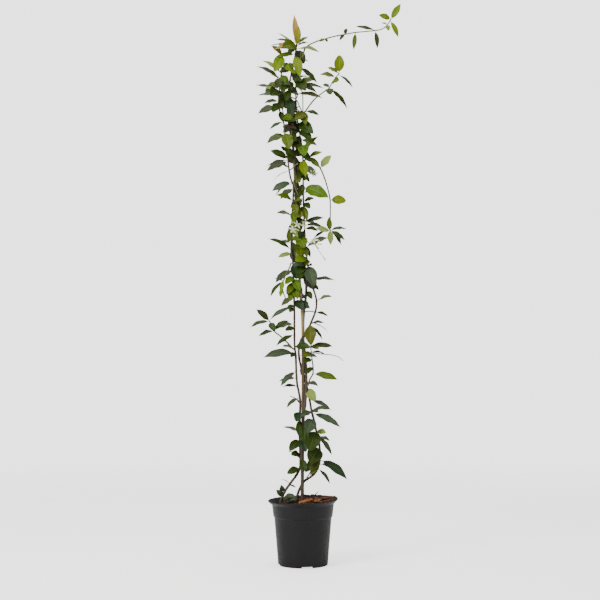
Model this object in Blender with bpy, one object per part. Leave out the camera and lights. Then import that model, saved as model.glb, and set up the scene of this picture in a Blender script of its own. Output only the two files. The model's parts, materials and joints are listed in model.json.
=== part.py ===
"""Star jasmine in a nursery pot: three woody vines twine up a bamboo cane, with
leafy side shoots and flower sprays, in soil topped with bark.

Sizes are in millimetres and become metres where a mesh is made. X is to the
right, Y away from the viewer, Z up, and the origin is under the pot's centre.
"""
import math
import random

import bmesh
import bpy
from mathutils import Matrix, Vector
from mathutils.bvhtree import BVHTree

MM = 0.001
CLEAR = 0.3

# Pot
POT_HEIGHT = 140.0
LIP_RADIUS = 75.0
LIP_DEPTH = 1.8
COLLAR_RADIUS = 66.5
COLLAR_HEIGHT = 130.0
BAND_RADIUS = 63.5
BAND_FOOT = 104.0
STEP_IN = 2.0
STEP_DROP = 1.5
FOOT_RADIUS = 53.4
FOOT_ROUND = 1.4
FOOT_RING = 3.0
WALL = 1.3
PAD_RADIUS = 35.0
PAD_SLOPE = 1.6
GROOVE_HEIGHT = 4.0
POT_SEGMENTS = 32
LIP_TILT = 2.4
NOTCH_WIDTH = 23.0
NOTCH_HEIGHT = 3.4
NOTCH_COUNT = 4
NOTCH_START = 10.0

# Soil and bark
SOIL_TOP = 128.0
HOLE_CLEAR = 0.4
HOLE_TOP = 172.0
MOUND_FOOT = 2.5
MOUND_RISE = 8.0
MOUND_RIGHT = 59.0
MOUND_LEFT = 30.0
MOUND_RINGS = 3
MOUND_SEGMENTS = 16
MOUND_SINK = 12.0
CHIP_COUNT = 24
CHIP_LENGTH = (11.0, 25.0)
CHIP_WIDTH = (6.0, 11.0)
CHIP_THICKNESS = (2.2, 3.8)
CHIP_TILT = 22.0
CHIP_SEED = 23
SPLINTER = ((15.0, -30.0, 134.0), (24.0, -31.0, 151.0), (33.0, -32.0, 161.0))
SPLINTER_RADIUS = 1.3

# Cane
CANE_RADIUS = 3.5
CANE_TOP_RADIUS = 3.0
CANE_SIDES = 8
CANE_RING = 0.5
CANE_RINGS = (262.0, 428.0, 590.0, 748.0, 900.0)
CANE_RING_HALF = 2.5
CANE_ROUTE = (
    (-1, 0, 14), (-1, 0, 140), (-0.5, 0, 267), (0, 0, 352), (0, 0, 481), (-2, 0, 545),
    (-5.5, 0, 588), (-13, 0, 695), (-15.5, 0, 803), (-23.5, 0, 931), (-27, 0, 995),
    (-29, 0, 1025),
)

# Stems
STEM_SIDES = 5
STEM_STEP = 26.0
SHOOT_STEP = 16.0
SEAT_LENGTH = 3.0
END_BUD = 2.4
END_SWELL = 0.4
ROOT_STAGGER = 0.7

MAIN_RADII = (2.6, 1.2)
MAIN_ROUTE = (
    (-1.5, -7.6, 98), (-1.5, -7.6, 130), (-1.5, -7.4, 165), (-1.5, -7.2, 210), (-3, -6.8, 250),
    (-1, -7, 290), (2, -6.8, 325), (5, -5, 352), (7, 0.5, 395), (5, 5.4, 440), (1, 7.2, 480),
    (0.5, 7.4, 515), (2.5, 7, 545), (6, 5, 573), (7, 1, 600), (4, -1.5, 635), (-3, -4, 680),
    (-7, -3.5, 720), (-8, 1, 760), (-9.5, 4.6, 800), (-14, 7, 850), (-22, 7, 900),
    (-30, 4.5, 940), (-33.5, -1, 980), (-31, -6.6, 1015), (-25, -4, 1052), (-18, 0, 1085),
    (-13, 0, 1118),
)
LEFT_RADII = (2.0, 1.1)
LEFT_ROUTE = (
    (-49, -4, 100), (-49, -4, 118), (-48, -4, 136), (-39, -3, 157), (-28, -1, 173),
    (-14, 2, 192), (-6, 5, 210), (-6.2, 4, 240), (-7, 1.5, 280), (-6.6, 3, 320), (-6, 5, 350),
    (-9, 3, 370), (-12.5, 1, 387), (-14.5, 0, 417), (-15.5, 0, 449), (-18, 0, 470),
    (-18.5, -1, 541), (-20, -2, 600), (-21.5, -2, 648), (-25, -2, 674), (-24.5, -3, 715),
    (-22.5, -3, 760), (-20.5, -6, 808), (-26, -4.5, 826), (-30, -3, 847), (-32.5, -2, 873),
    (-36.5, -2, 900), (-38.5, -2, 922), (-42, -2, 950), (-50, -2, 972), (-52, -2, 1002),
    (-47, 0, 1045), (-45, -2, 1070), (-44, -3, 1094),
)
RIGHT_RADII = (2.0, 1.0)
RIGHT_ROUTE = (
    (-13, 3, 100), (-13, 3, 120), (-13, 3.5, 142), (-10, 5, 154), (-4.5, 7.6, 166),
    (3, 7.6, 178), (13, 4, 185), (24, 1, 194), (30, 0, 203), (34, -1, 214), (36, -2, 226),
    (36, -2, 246), (33.5, -2, 267), (28, -2, 288), (23.5, -1, 310), (18.5, 0, 328),
    (14.5, 3, 352), (10, 6, 374), (4, 8.2, 396), (-3, 8.4, 418), (-8, 5.5, 442),
    (-8.8, 0, 462), (-5, -7, 480), (5, -7.5, 496), (14, -4, 511), (20, -2, 525), (26, -2, 540),
    (29, -2, 556), (28, -2, 571), (24, -2, 585), (18.5, -2, 600), (12.5, -2.5, 628),
    (8.5, -3, 655), (4.5, 0, 695), (2.5, 2, 740), (0.5, 2.5, 800), (0, 3, 862), (-3, 3, 900),
    (-9, 2, 935), (-13, 0, 962), (-15, -1, 995), (-15.5, -2, 1025), (-11, -5, 1054),
    (-6, -5.5, 1080), (-4, -7, 1096),
)

# Each shoot: the vine that it grows on, the height of its seat, its two radii,
# and the points that its stem passes, which are also where its leaves grow.
SHOOTS = {
    "reaching_shoot": ("right_vine", 1088.0, (1.2, 0.8), (
        (6, -7, 1107), (26, -5, 1119), (47, -3, 1126), (69, -2, 1132), (90, -2, 1136),
        (112, -2, 1140), (133, -1, 1142), (155, 0, 1144.5), (170, 0, 1148), (181, 0, 1157),
        (188, 0, 1168))),
    "upper_right_shoot": ("right_vine", 962.0, (1.3, 0.8), (
        (4, -4, 970), (13, -5, 982), (26, -5, 998), (41, -4, 1010), (56, -3, 1021),
        (63, -2, 1034), (70, -2, 1043), (77, -2, 1052))),
    "hanging_shoot": ("right_vine", 866.0, (1.3, 0.8), (
        (11, -1, 872), (24, -3, 867), (37, -4, 849), (46, -4, 828), (53, -4, 805),
        (58, -4, 781), (58.5, -4, 748), (58, -4, 714))),
    "left_shoot": ("left_vine", 463.0, (1.3, 0.9), (
        (-28, -2, 470), (-39, -3, 481), (-50, -4, 491), (-62, -4, 501), (-71, -4, 521))),
    "loop_shoot": ("left_vine", 646.0, (1.1, 0.8), (
        (-29, -4, 636), (-37, -5, 620), (-42, -5, 607), (-43.5, -5, 592), (-40, -5, 577),
        (-33, -6, 562))),
    "lower_right_shoot": ("main_vine", 384.0, (1.3, 0.8), (
        (14, -5, 396), (21, -6, 409), (21.5, -6, 424), (19.5, -6, 440), (17.5, -6, 456),
        (16.5, -6, 469))),
}
BASAL_ROUTE = ((-38, -20, 104), (-38, -20, 120), (-39, -20, 138), (-42, -20, 149), (-44, -19, 158))
BASAL_RADII = (1.3, 0.9)

# Leaves on the vines: height of the leaf's root on its vine, its tip (x, y, z),
# the blade's width, and how far the blade turns from the sky to the viewer.
MAIN_LEAVES = (
    (1114, -19, -4, 1178, 13, 85), (1112, -9, -9, 1152, 15, 80), (1106, -56, 8, 1141, 7, 30),
    (1114, 12, 6, 1132, 10, 30), (1110, -58, -6, 1124, 15, 20), (1104, -71, 4, 1113, 13, 15),
    (1108, -62, -15, 1101, 14, 45), (1113, -44, -21, 1104, 18, 80), (1104, 35, -9, 1092, 16, 22),
    (1111, 14, 12, 1121, 10, 15), (1094, -59, -9, 1086, 10, 60), (1092, -6, -22, 1038, 15, 75),
    (1088, 13, -2, 1077, 13, 15), (1036, -2, -20, 1032, 18, 25), (1002, -24, -24, 957, 19, 80),
    (702, 3, -24, 677, 20, 85), (684, -7, -22, 660, 19, 80), (642, -11, -15, 621, 16, 75),
    (640, 25, 13, 590, 28, 85), (586, 19, -11, 569, 14, 70),
)
LEFT_LEAVES = (
    (1092, -61, -17, 1053, 24, 85), (1076, -16, -17, 1047, 13, 60), (1052, -88, 0, 1080, 13, 40),
    (1036, -100, 4, 1068, 13, 10), (1016, -69, -23, 1000, 21, 80), (1042, -56, -19, 1016, 17, 75),
    (1010, -84, -5, 1024, 10, 40), (1014, -103, 4, 1028, 9, 10), (1003, -98, 9, 1006, 9, 15),
    (992, -83, -4, 988, 12, 25), (990, -65, -13, 967, 15, 60), (948, -72, 4, 933, 11, 8),
    (914, -59, -3, 924, 7, 30), (926, -29, -18, 888, 19, 80), (941, -14, -17, 930, 16, 45),
    (882, -47, 6, 897, 11, 15), (869, -70, -8, 886, 16, 60), (866, -79, 3, 852, 14, 15),
    (850, -47, -7, 857, 7, 50), (844, -64, -2, 822, 4, 10), (819, -66, -7, 800, 17, 50),
    (816, -60, 5, 790, 12, 20), (779, -57, -13, 791, 14, 28), (777, -2, -19, 780, 13, 35),
    (757, -18, -15, 730, 12, 80), (719, -22, -13, 688, 6, 85), (728, -31, -9, 689, 13, 80),
    (674, -75, -4, 698, 14, 25), (667, -54, -7, 658, 13, 35), (618, -38, -12, 601, 14, 60),
    (606, -35, -15, 578, 14, 70), (612, -7, -16, 586, 15, 70), (596, -11, -16, 569, 14, 70),
    (590, -30, -17, 565, 12, 75), (560, 15, -18, 549, 17, 42), (556, -34, -9, 548, 12, 45),
    (552, -71, -5, 524, 14, 20), (493, -58, -5, 469, 14, 25), (508, -38, -11, 502, 14, 38),
    (452, -85, -8, 444, 20, 45), (468, 17, -18, 466, 16, 45), (454, -26, -11, 445, 10, 60),
    (414, -48, -7, 382, 15, 40), (381, -45, 3, 380, 12, 15), (357, -35, 1, 336, 13, 15),
    (327, -14, -15, 308, 16, 70), (312, -7, -17, 272, 13, 80), (268, -29, -11, 246, 18, 65),
    (236, -26, -12, 238, 15, 55), (207, -34, -9, 196, 15, 50), (171, -15, -8, 166, 6, 30),
    (173, -47, -5, 184, 4, 15),
)
RIGHT_LEAVES = (
    (1066, 31, -4, 1030, 15, 30), (1042, 12, 9, 1046, 8, 25), (1038, 6, -27, 1010, 22, 80),
    (1034, 30, -13, 1008, 16, 35), (1026, 46, 7, 1021, 12, 8), (1008, 42, -7, 998, 15, 20),
    (948, 22, -22, 920, 21, 80), (932, 19, -15, 905, 17, 75), (884, 33, -5, 917, 13, 40),
    (900, 3, -26, 872, 22, 85), (868, 6, -20, 828, 14, 85), (843, 4, -12, 821, 12, 60),
    (838, 14, -4, 820, 9, 60), (808, 54, -17, 785, 24, 65), (778, 24, -4, 784, 10, 40),
    (775, 15, -14, 762, 14, 60), (769, 9, -12, 735, 11, 80), (733, 45, -2, 743, 14, 25),
    (727, 47, 4, 721, 14, 15), (720, 32, -9, 714, 12, 22), (657, -17, -20, 650, 17, 70),
    (644, -25, -14, 640, 14, 25), (684, 16, -8, 657, 8, 70), (608, 69, -2, 609, 15, 20),
    (603, 34, -6, 588, 9, 60), (517, 17, -17, 470, 20, 85), (515, 46, 3, 518, 12, 10),
    (513, 42, -4, 481, 9, 20), (519, 54, 6, 498, 5, 20), (541, 54, -3, 532, 12, 10),
    (378, 26, -10, 351, 18, 75), (353, 61, -2, 330, 14, 25), (328, -6, -18, 318, 14, 45),
    (324, 81, -5, 294, 17, 40), (313, 8, -25, 285, 22, 85), (288, 13, -27, 247, 29, 85),
    (286, 49, -8, 283, 14, 50), (277, 62, -2, 234, 13, 25), (252, 15, -23, 220, 29, 85),
    (240, 5, -17, 200, 19, 80), (225, 95, -7, 183, 20, 45), (206, 58, 3, 172, 8, 10),
    (217, 15, -17, 194, 14, 70),
)
# Leaves on the shoots: the place of the root in the shoot's list of points, then
# the same five values.
SHOOT_LEAVES = {
    "reaching_shoot": (
        (2, 36, -4, 1120, 8, 60), (2, 53, -4, 1119, 6, 60), (4, 78, -4, 1122, 5, 60),
        (4, 94, -4, 1148, 7, 50), (5, 108, -6, 1101, 10, 70), (7, 112, 4, 1154, 8, 60),
        (7, 159, -4, 1104, 10, 60), (10, 162, -6, 1176, 13, 80), (10, 209, -4, 1201, 14, 80),
        (9, 168, -2, 1160, 5, 50), (9, 183, -8, 1142, 10, 80), (10, 204, -4, 1128, 11, 70)),
    "upper_right_shoot": (
        (0, 35, 0, 963, 12, 20), (0, -16, -22, 950, 18, 75), (7, 78, -4, 1091, 22, 85),
        (7, 53, 3, 1066, 11, 30), (6, 36, -5, 1049, 12, 35), (5, 77, -15, 1035, 14, 70),
        (7, 107, 0, 1021, 8, 35), (4, 43, 7, 1030, 12, 30), (4, 58, -14, 1004, 14, 75),
        (4, 95, 3, 976, 13, 15)),
    "hanging_shoot": (
        (0, 42, -7, 883, 13, 50), (2, 60, -5, 876, 14, 60), (0, 36, -13, 848, 14, 55),
        (5, 92, -5, 779, 20, 80), (7, 28, -7, 720, 14, 60), (7, 56, -9, 745, 12, 80),
        (7, 94, 4, 719, 12, 15), (7, 90, -4, 694, 13, 28), (7, 82, 5, 684, 13, 20),
        (7, 59, -11, 684, 13, 75), (7, 22, 4, 698, 10, 30)),
    "left_shoot": (
        (4, -100, -7, 547, 15, 55), (4, -113, 2, 508, 15, 25), (4, -60, -16, 500, 13, 65),
        (3, -30, -8, 523, 14, 50), (3, -95, -5, 489, 13, 30)),
    "loop_shoot": (
        (3, -49, -10, 574, 9, 80), (2, -61, 3, 613, 7, 30), (2, -70, 0, 573, 10, 30)),
    "lower_right_shoot": (
        (5, 64, -5, 468, 14, 40), (4, 49, 3, 449, 11, 10), (4, 1, -14, 446, 10, 50),
        (3, 0, -13, 435, 9, 50), (2, 4, -14, 408, 12, 50), (1, 74, -8, 397, 18, 50)),
    "basal_shoot": (
        (3, -57, -22, 164, 12, 80), (4, -46, -26, 176, 12, 75), (3, -15, -26, 150, 13, 50),
        (2, -14, -33, 144, 14, 40), (3, -36, -40, 146, 12, 50)),
}
TENDRILS = {
    "lower_right_shoot": ((4, ((34, -4, 452), (56, -3, 450), (74, -3, 446), (86, -3, 437))),),
}
TENDRIL_RADII = (0.8, 0.5)

# Leaves of the far side, which repeat up each vine by a rule
FAR_STEP = 58.0
FAR_RANGES = {"main_vine": (250, 1070), "left_vine": (225, 1060), "right_vine": (215, 1050)}
FAR_HEADINGS = {"main_vine": (70, 110), "left_vine": (115, 172), "right_vine": (8, 65)}
FAR_LENGTH = (38.0, 58.0)
FAR_PITCH = (-34.0, 26.0)
FAR_SLENDER = 0.36
FAR_FACE = -35.0
FAR_SEED = 11

# Blade
PETIOLE_SHARE = 0.16
PETIOLE_RADIUS = 0.8
BLADE_THICKNESS = 1.5
BLADE_FOLD = 0.16
BLADE_ARCH = 0.10
BLADE_STATIONS = (0.22, 0.52, 0.8)
SMALL_STATIONS = (0.3, 0.68)
LONG_LEAF = 46.0
STALK_ROWS = 2
OUTLINE_SKEW = 0.9
OUTLINE_FULLNESS = 0.75
NEAR_REACH = 1.5
CLEAR_TRIES =(0, -5, 5, -10, 10, -15, 15, -20, 20, -26, 26, -32, 32)
SIDE_TRIES = (0, 5, -5, 10, -10)

# Flower sprays: the stem that carries it, the height or place of its seat, its
# stalk's points, its open flowers and its buds.
SPRAYS = {
    "front_flower_spray": ("left_vine", 712.0, ((-21, -18, 718), (-17, -27, 724)),
                           ((-12, -33, 728), (2, -34, 727), (-22, -33, 716)),
                           ((-29, -30, 727), (-25, -31, 736), (-8, -33, 714))),
    "right_flower_spray": ("right_vine", 692.0, ((16, -9, 688), (28, -13, 686)),
                           ((23, -20, 694),),
                           ((36, -16, 694), (41, -14, 686), (34, -18, 676), (48, -8, 652))),
    "upper_flower_spray": ("right_vine", 826.0, ((11, -9, 834), (20, -13, 838)),
                           (),
                           ((27, -14, 846), (32, -14, 837), (24, -18, 830), (17, -19, 844))),
}
STALK_RADII = (1.0, 0.8)
PEDICEL_RADIUS = 0.7
PETAL_COUNT = 5
PETAL_LENGTH = 10.5
PETAL_WIDTH = 5.0
PETAL_STATIONS = (0.7,)
PETAL_ROOT = 1.15
PETAL_NECK = 0.6
PETAL_SINK = 0.9
TUBE_LENGTH = 7.0
TUBE_RADIUS = 1.8
BUD_LENGTH = 9.0
BUD_RADIUS = 1.8
BUD_POINT = 0.4
SPRAY_SIDES = 4
FORK_START = 0.9
FORK_STEP = 0.8

COLOURS = {
    "charcoal plastic": ((0.028, 0.026, 0.029), 0.42),
    "potting soil": ((0.030, 0.018, 0.011), 0.95),
    "pine bark": ((0.28, 0.12, 0.055), 0.85),
    "bamboo": ((0.46, 0.31, 0.14), 0.5),
    "leaf": ((0.075, 0.15, 0.02), 0.38),
    "cream petal": ((0.78, 0.76, 0.52), 0.5),
}


def clear_scene():
    for thing in list(bpy.data.objects):
        bpy.data.objects.remove(thing, do_unlink=True)


def finish(name):
    """The material of one finish."""
    found = bpy.data.materials.get(name)
    if found:
        return found
    colour, roughness = COLOURS[name]
    material = bpy.data.materials.new(name)
    material.use_nodes = True
    shader = material.node_tree.nodes["Principled BSDF"]
    shader.inputs["Base Color"].default_value = (*colour, 1.0)
    shader.inputs["Roughness"].default_value = roughness
    shader.inputs["Metallic"].default_value = 0.0
    return material


def make_object(name, shape, material):
    """An object from points in millimetres and the faces between them."""
    points, faces = shape
    mesh = bpy.data.meshes.new(name)
    mesh.from_pydata([Vector(p) * MM for p in points], [], faces)
    mesh.materials.append(finish(material))
    thing = bpy.data.objects.new(name, mesh)
    bpy.context.scene.collection.objects.link(thing)
    return thing


def apply_modifiers(thing):
    graph = bpy.context.evaluated_depsgraph_get()
    mesh = bpy.data.meshes.new_from_object(thing.evaluated_get(graph))
    thing.modifiers.clear()
    thing.data = mesh


def combine(thing, shapes, operation):
    """Join shapes to an object, or cut them from it, in one Boolean."""
    group = bpy.data.collections.new(thing.name + " parts")
    bpy.context.scene.collection.children.link(group)
    for shape in shapes:
        part = make_object(thing.name + " part", shape, "leaf")
        bpy.context.scene.collection.objects.unlink(part)
        group.objects.link(part)
    boolean = thing.modifiers.new(operation, "BOOLEAN")
    boolean.operation = operation
    boolean.operand_type = "COLLECTION"
    boolean.collection = group
    apply_modifiers(thing)
    for part in list(group.objects):
        bpy.data.objects.remove(part, do_unlink=True)
    bpy.data.collections.remove(group)


def keep_one_body(thing):
    """Fill the hollows that fusing sealed and drop loose scraps."""
    mesh = bmesh.new()
    mesh.from_mesh(thing.data)
    mesh.verts.ensure_lookup_table()
    seen = set()
    bodies = []
    for start in mesh.verts:
        if start in seen:
            continue
        body = set()
        waiting = [start]
        while waiting:
            vert = waiting.pop()
            if vert in body:
                continue
            body.add(vert)
            waiting.extend(edge.other_vert(vert) for edge in vert.link_edges)
        seen |= body
        bodies.append(body)
    largest = max(bodies, key=len)
    spare = [vert for vert in mesh.verts if vert not in largest]
    bmesh.ops.delete(mesh, geom=spare, context="VERTS")
    mesh.to_mesh(thing.data)
    mesh.free()


def one_material(thing, material):
    """Give every face the same finish after a Boolean."""
    thing.data.materials.clear()
    thing.data.materials.append(finish(material))
    for face in thing.data.polygons:
        face.material_index = 0


def smooth_route(points, step):
    """Points along a smooth curve through the route's own points."""
    route = [Vector(p) for p in points]
    ends = [route[0] * 2 - route[1]] + route + [route[-1] * 2 - route[-2]]
    out = [route[0]]
    for a, b, c, d in zip(ends, ends[1:], ends[2:], ends[3:]):
        count = max(1, round((c - b).length / step))
        for i in range(1, count + 1):
            t = i / count
            out.append(0.5 * (2 * b + (c - a) * t + (2 * a - 5 * b + 4 * c - d) * t ** 2
                              + (3 * b - a - 3 * c + d) * t ** 3))
    return out


def tube(points, radii, sides):
    """A closed round tube along a chain of points, with a radius at each."""
    verts = []
    faces = []
    side = None
    for i, point in enumerate(points):
        ahead = points[min(i + 1, len(points) - 1)]
        behind = points[max(i - 1, 0)]
        along = (ahead - behind).normalized()
        if side is None:
            side = along.orthogonal().normalized()
        side = (side - along * side.dot(along)).normalized()
        other = along.cross(side)
        for k in range(sides):
            angle = math.tau * k / sides
            offset = side * math.cos(angle) + other * math.sin(angle)
            verts.append(point + offset * radii[i])
    for i in range(len(points) - 1):
        for k in range(sides):
            a = i * sides + k
            b = i * sides + (k + 1) % sides
            faces += [(a, b, b + sides), (a, b + sides, a + sides)]
    faces.append(tuple(reversed(range(sides))))
    faces.append(tuple(range((len(points) - 1) * sides, len(points) * sides)))
    return verts, faces


class Stem:
    """A stem's centreline, its radius along it and its marked points."""

    def __init__(self, route, radii, step):
        self.marks = [Vector(p) for p in route]
        self.points = smooth_route(route, step)
        last = len(self.points) - 1
        self.radii = [radii[0] + (radii[1] - radii[0]) * i / last for i in range(last + 1)]

    def at_height(self, height):
        """The centre, direction and radius where the stem reaches a height."""
        for i, (low, high) in enumerate(zip(self.points, self.points[1:])):
            if low.z <= height <= high.z:
                share = (height - low.z) / (high.z - low.z)
                return low.lerp(high, share), (high - low).normalized(), self.radii[i]
        return self.points[-1], (self.points[-1] - self.points[-2]).normalized(), self.radii[-1]

    def at_mark(self, mark, rank):
        """The root of one of the leaves at a marked point: each a little below the last."""
        down = (self.marks[mark - 1] - self.marks[mark]).normalized()
        if mark == 0:
            down = (self.marks[0] - self.marks[1]).normalized()
        return self.marks[mark] + down * (ROOT_STAGGER * rank)

    def shape(self):
        """The stem's tube, closed by a short bud past its last point."""
        end = self.points[-1]
        ahead = (end - self.points[-2]).normalized()
        points = self.points[:-1] + [end, end + ahead * END_BUD]
        radii = self.radii[:-1] + [self.radii[-1] + END_SWELL, self.radii[-1] * 0.5]
        return tube(points, radii, STEM_SIDES)


def seated_route(carrier, height, marks):
    """A side stem's route, which starts square to its carrier's bark."""
    centre, along, radius = carrier.at_height(height)
    towards = Vector(marks[0]) - centre
    towards = (towards - along * towards.dot(along)).normalized()
    seat = centre + towards * (radius + CLEAR)
    return [seat, seat + towards * SEAT_LENGTH] + [Vector(p) for p in marks]


def outline(share):
    """A leaf's half width along its blade, as a share of the widest."""
    return math.sin(math.pi * share ** OUTLINE_SKEW) ** OUTLINE_FULLNESS


def blade(root, tip, width, face, stations=None, grow=0.0, petiole=PETIOLE_SHARE,
          stalk=PETIOLE_RADIUS):
    """A leaf: a slim stalk, then a folded, arched blade that ends in a point."""
    chord = tip - root
    length = chord.length
    along = chord / length
    turn = math.radians(face)
    up = Vector((0, -math.sin(turn), math.cos(turn)))
    up = (up - along * up.dot(along)).normalized()
    side = up.cross(along)
    if stations is None:
        stations = SMALL_STATIONS if length < LONG_LEAF else BLADE_STATIONS
    rows = [(0.0, stalk, 0.0), (petiole, stalk, 0.0)]
    for share in stations:
        half = outline(share) * width / 2
        rows.append((petiole + (1 - petiole) * share, half, half * BLADE_FOLD))
    verts = []
    rings = []
    for row, (share, half, fold) in enumerate(rows):
        centre = root + chord * share + up * (4 * share * (1 - share) * BLADE_ARCH * length)
        thick = up * (BLADE_THICKNESS / 2 + grow)
        rim = side * (half + grow)
        first = len(verts)
        verts += [centre - rim + up * fold, centre + thick, centre + rim + up * fold]
        if row < STALK_ROWS:
            rings.append((first, first + 1, first + 2, first))
        else:
            verts.append(centre - thick)
            rings.append((first, first + 1, first + 2, first + 3))
    verts.append(tip + along * grow)
    left, top, right, _ = rings[0]
    faces = [(left, top, right)]
    for near, far in zip(rings, rings[1:]):
        for k, n in ((0, 1), (2, 1), (0, 3), (2, 3)):
            strip = [(near[k], far[n], near[n]), (near[k], far[k], far[n])]
            if (k, n) in ((2, 1), (0, 3)):
                strip = [tuple(reversed(face)) for face in strip]
            faces += [face for face in strip if len(set(face)) == 3]
    left, top, right, bottom = rings[-1]
    point = len(verts) - 1
    faces += [(left, point, top), (top, point, right), (right, point, bottom), (bottom, point, left)]
    return verts, faces


def reach_of(points):
    """The lowest and highest corner of some points."""
    low = [min(p[k] for p in points) for k in range(3)]
    high = [max(p[k] for p in points) for k in range(3)]
    return low, high


class Obstacles:
    """What is already in place, and which node each shape belongs to."""

    def __init__(self):
        self.entries = []

    def add(self, node, shape):
        points, faces = shape
        self.entries.append((node, *reach_of(points), BVHTree.FromPolygons(points, faces)))

    def crossed(self, node, shape):
        """Whether a shape of a node crosses a shape of another node."""
        points, faces = shape
        low, high = reach_of(points)
        tree = None
        for owner, its_low, its_high, its_tree in self.entries:
            if owner == node:
                continue
            if any(high[k] < its_low[k] or low[k] > its_high[k] for k in range(3)):
                continue
            tree = tree or BVHTree.FromPolygons(points, faces)
            if tree.overlap(its_tree):
                return True
        return False


def settled_tip(node, root, tip, width, face, placed):
    """A leaf's tip, bent nearer, further or aside until the leaf is clear."""
    for aside in SIDE_TRIES:
        for depth in CLEAR_TRIES:
            bent = tip + Vector((0, depth, aside))
            if not placed.crossed(node, blade(root, bent, width, face, grow=CLEAR)):
                return bent
    return None


def far_leaves(node, draw):
    """Leaves of a vine's far side: headings swing to and fro as pairs alternate."""
    low, high = FAR_RANGES[node]
    start, end = FAR_HEADINGS[node]
    rows = []
    for i in range(int((high - low) / FAR_STEP) + 1):
        swing = 0.25 + 0.5 * (i % 2) + draw.uniform(-0.25, 0.25)
        heading = math.radians(start + (end - start) * swing)
        pitch = math.radians(draw.uniform(*FAR_PITCH))
        length = draw.uniform(*FAR_LENGTH)
        reach = Vector((math.cos(heading) * math.cos(pitch), math.sin(heading) * math.cos(pitch),
                        math.sin(pitch))) * length
        rows.append((low + FAR_STEP * i, reach, length * FAR_SLENDER))
    return rows


def petals(centre, facing):
    """Five petals set like a pinwheel round a flower's throat."""
    facing = facing.normalized()
    side = facing.orthogonal().normalized()
    shapes = []
    for k in range(PETAL_COUNT):
        out = Matrix.Rotation(math.tau * k / PETAL_COUNT, 3, facing) @ side
        root = centre + out * PETAL_ROOT
        tip = centre + out * PETAL_LENGTH + facing
        tilt = math.degrees(math.atan2(-facing.y, facing.z))
        shapes.append(blade(root, tip, PETAL_WIDTH, tilt, PETAL_STATIONS, stalk=PETAL_NECK))
    return shapes


def spray_shapes(stalk, flowers, buds):
    """Pedicels that leave the stalk one below the other, with a flower or bud on each."""
    end = stalk.points[-1]
    down = (stalk.points[-2] - end).normalized()
    shapes = []
    for rank, place in enumerate(flowers + buds):
        tip = Vector(place)
        fork = end + down * (FORK_START + FORK_STEP * rank)
        out = (tip - fork).normalized()
        if rank < len(flowers):
            points = [fork, tip - out * TUBE_LENGTH, tip]
            shapes.append(tube(points, [PEDICEL_RADIUS, PEDICEL_RADIUS, TUBE_RADIUS], SPRAY_SIDES))
            shapes += petals(tip - out * PETAL_SINK, out)
        else:
            points = [fork] + [tip - out * BUD_LENGTH * share for share in (1.0, 0.6, 0.25, 0.0)]
            radii = [PEDICEL_RADIUS, PEDICEL_RADIUS, BUD_RADIUS, BUD_RADIUS * 0.8, BUD_POINT]
            shapes.append(tube(points, radii, SPRAY_SIDES))
    return shapes


def lathe(profile, segments):
    """A turned solid. The profile runs from the axis, out and back to the axis."""
    verts = []
    faces = []
    rings = []
    for radius, height in profile:
        if radius == 0:
            rings.append([len(verts)] * segments)
            verts.append((0, 0, height))
            continue
        rings.append(list(range(len(verts), len(verts) + segments)))
        for k in range(segments):
            angle = math.tau * (k + 0.5) / segments
            verts.append((radius * math.cos(angle), radius * math.sin(angle), height))
    for lower, upper in zip(rings, rings[1:]):
        for k in range(segments):
            n = (k + 1) % segments
            corners = [lower[k], lower[n], upper[n], upper[k]]
            faces.append(tuple(dict.fromkeys(corners)))
    return verts, faces


def pot_outer():
    """The pot's outside, from the middle of its base up to the lip."""
    ring = FOOT_RADIUS - FOOT_ROUND
    return [(0, 0), (PAD_RADIUS, 0), (PAD_RADIUS + PAD_SLOPE, GROOVE_HEIGHT),
            (ring - FOOT_RING, GROOVE_HEIGHT), (ring - FOOT_RING + PAD_SLOPE, 0), (ring, 0),
            (FOOT_RADIUS, FOOT_ROUND), (BAND_RADIUS - STEP_IN, BAND_FOOT - STEP_DROP),
            (BAND_RADIUS, BAND_FOOT), (COLLAR_RADIUS, COLLAR_HEIGHT),
            (LIP_RADIUS, POT_HEIGHT - LIP_DEPTH), (LIP_RADIUS, POT_HEIGHT)]


def pot_inner(inset):
    """The pot's inside, from the collar down to the middle of its floor."""
    floor = GROOVE_HEIGHT + inset
    rise = inset - WALL
    return [(COLLAR_RADIUS - inset, COLLAR_HEIGHT + rise), (BAND_RADIUS - inset, BAND_FOOT + inset / 2),
            (BAND_RADIUS - STEP_IN - inset, BAND_FOOT - STEP_DROP + inset / 2),
            (FOOT_RADIUS - inset, floor), (PAD_RADIUS + PAD_SLOPE - inset / 2, floor),
            (PAD_RADIUS - inset / 2, inset), (0, inset)]


def box(length, width, height, place):
    """A box's points and faces, set in place by a matrix."""
    points = []
    for x in (-0.5, 0.5):
        for y in (-0.5, 0.5):
            for z in (-0.5, 0.5):
                points.append(place @ Vector((x * length, y * width, z * height)))
    faces = [(0, 1, 3, 2), (4, 6, 7, 5), (0, 4, 5, 1), (2, 3, 7, 6), (0, 2, 6, 4), (1, 5, 7, 3)]
    return points, faces


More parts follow.
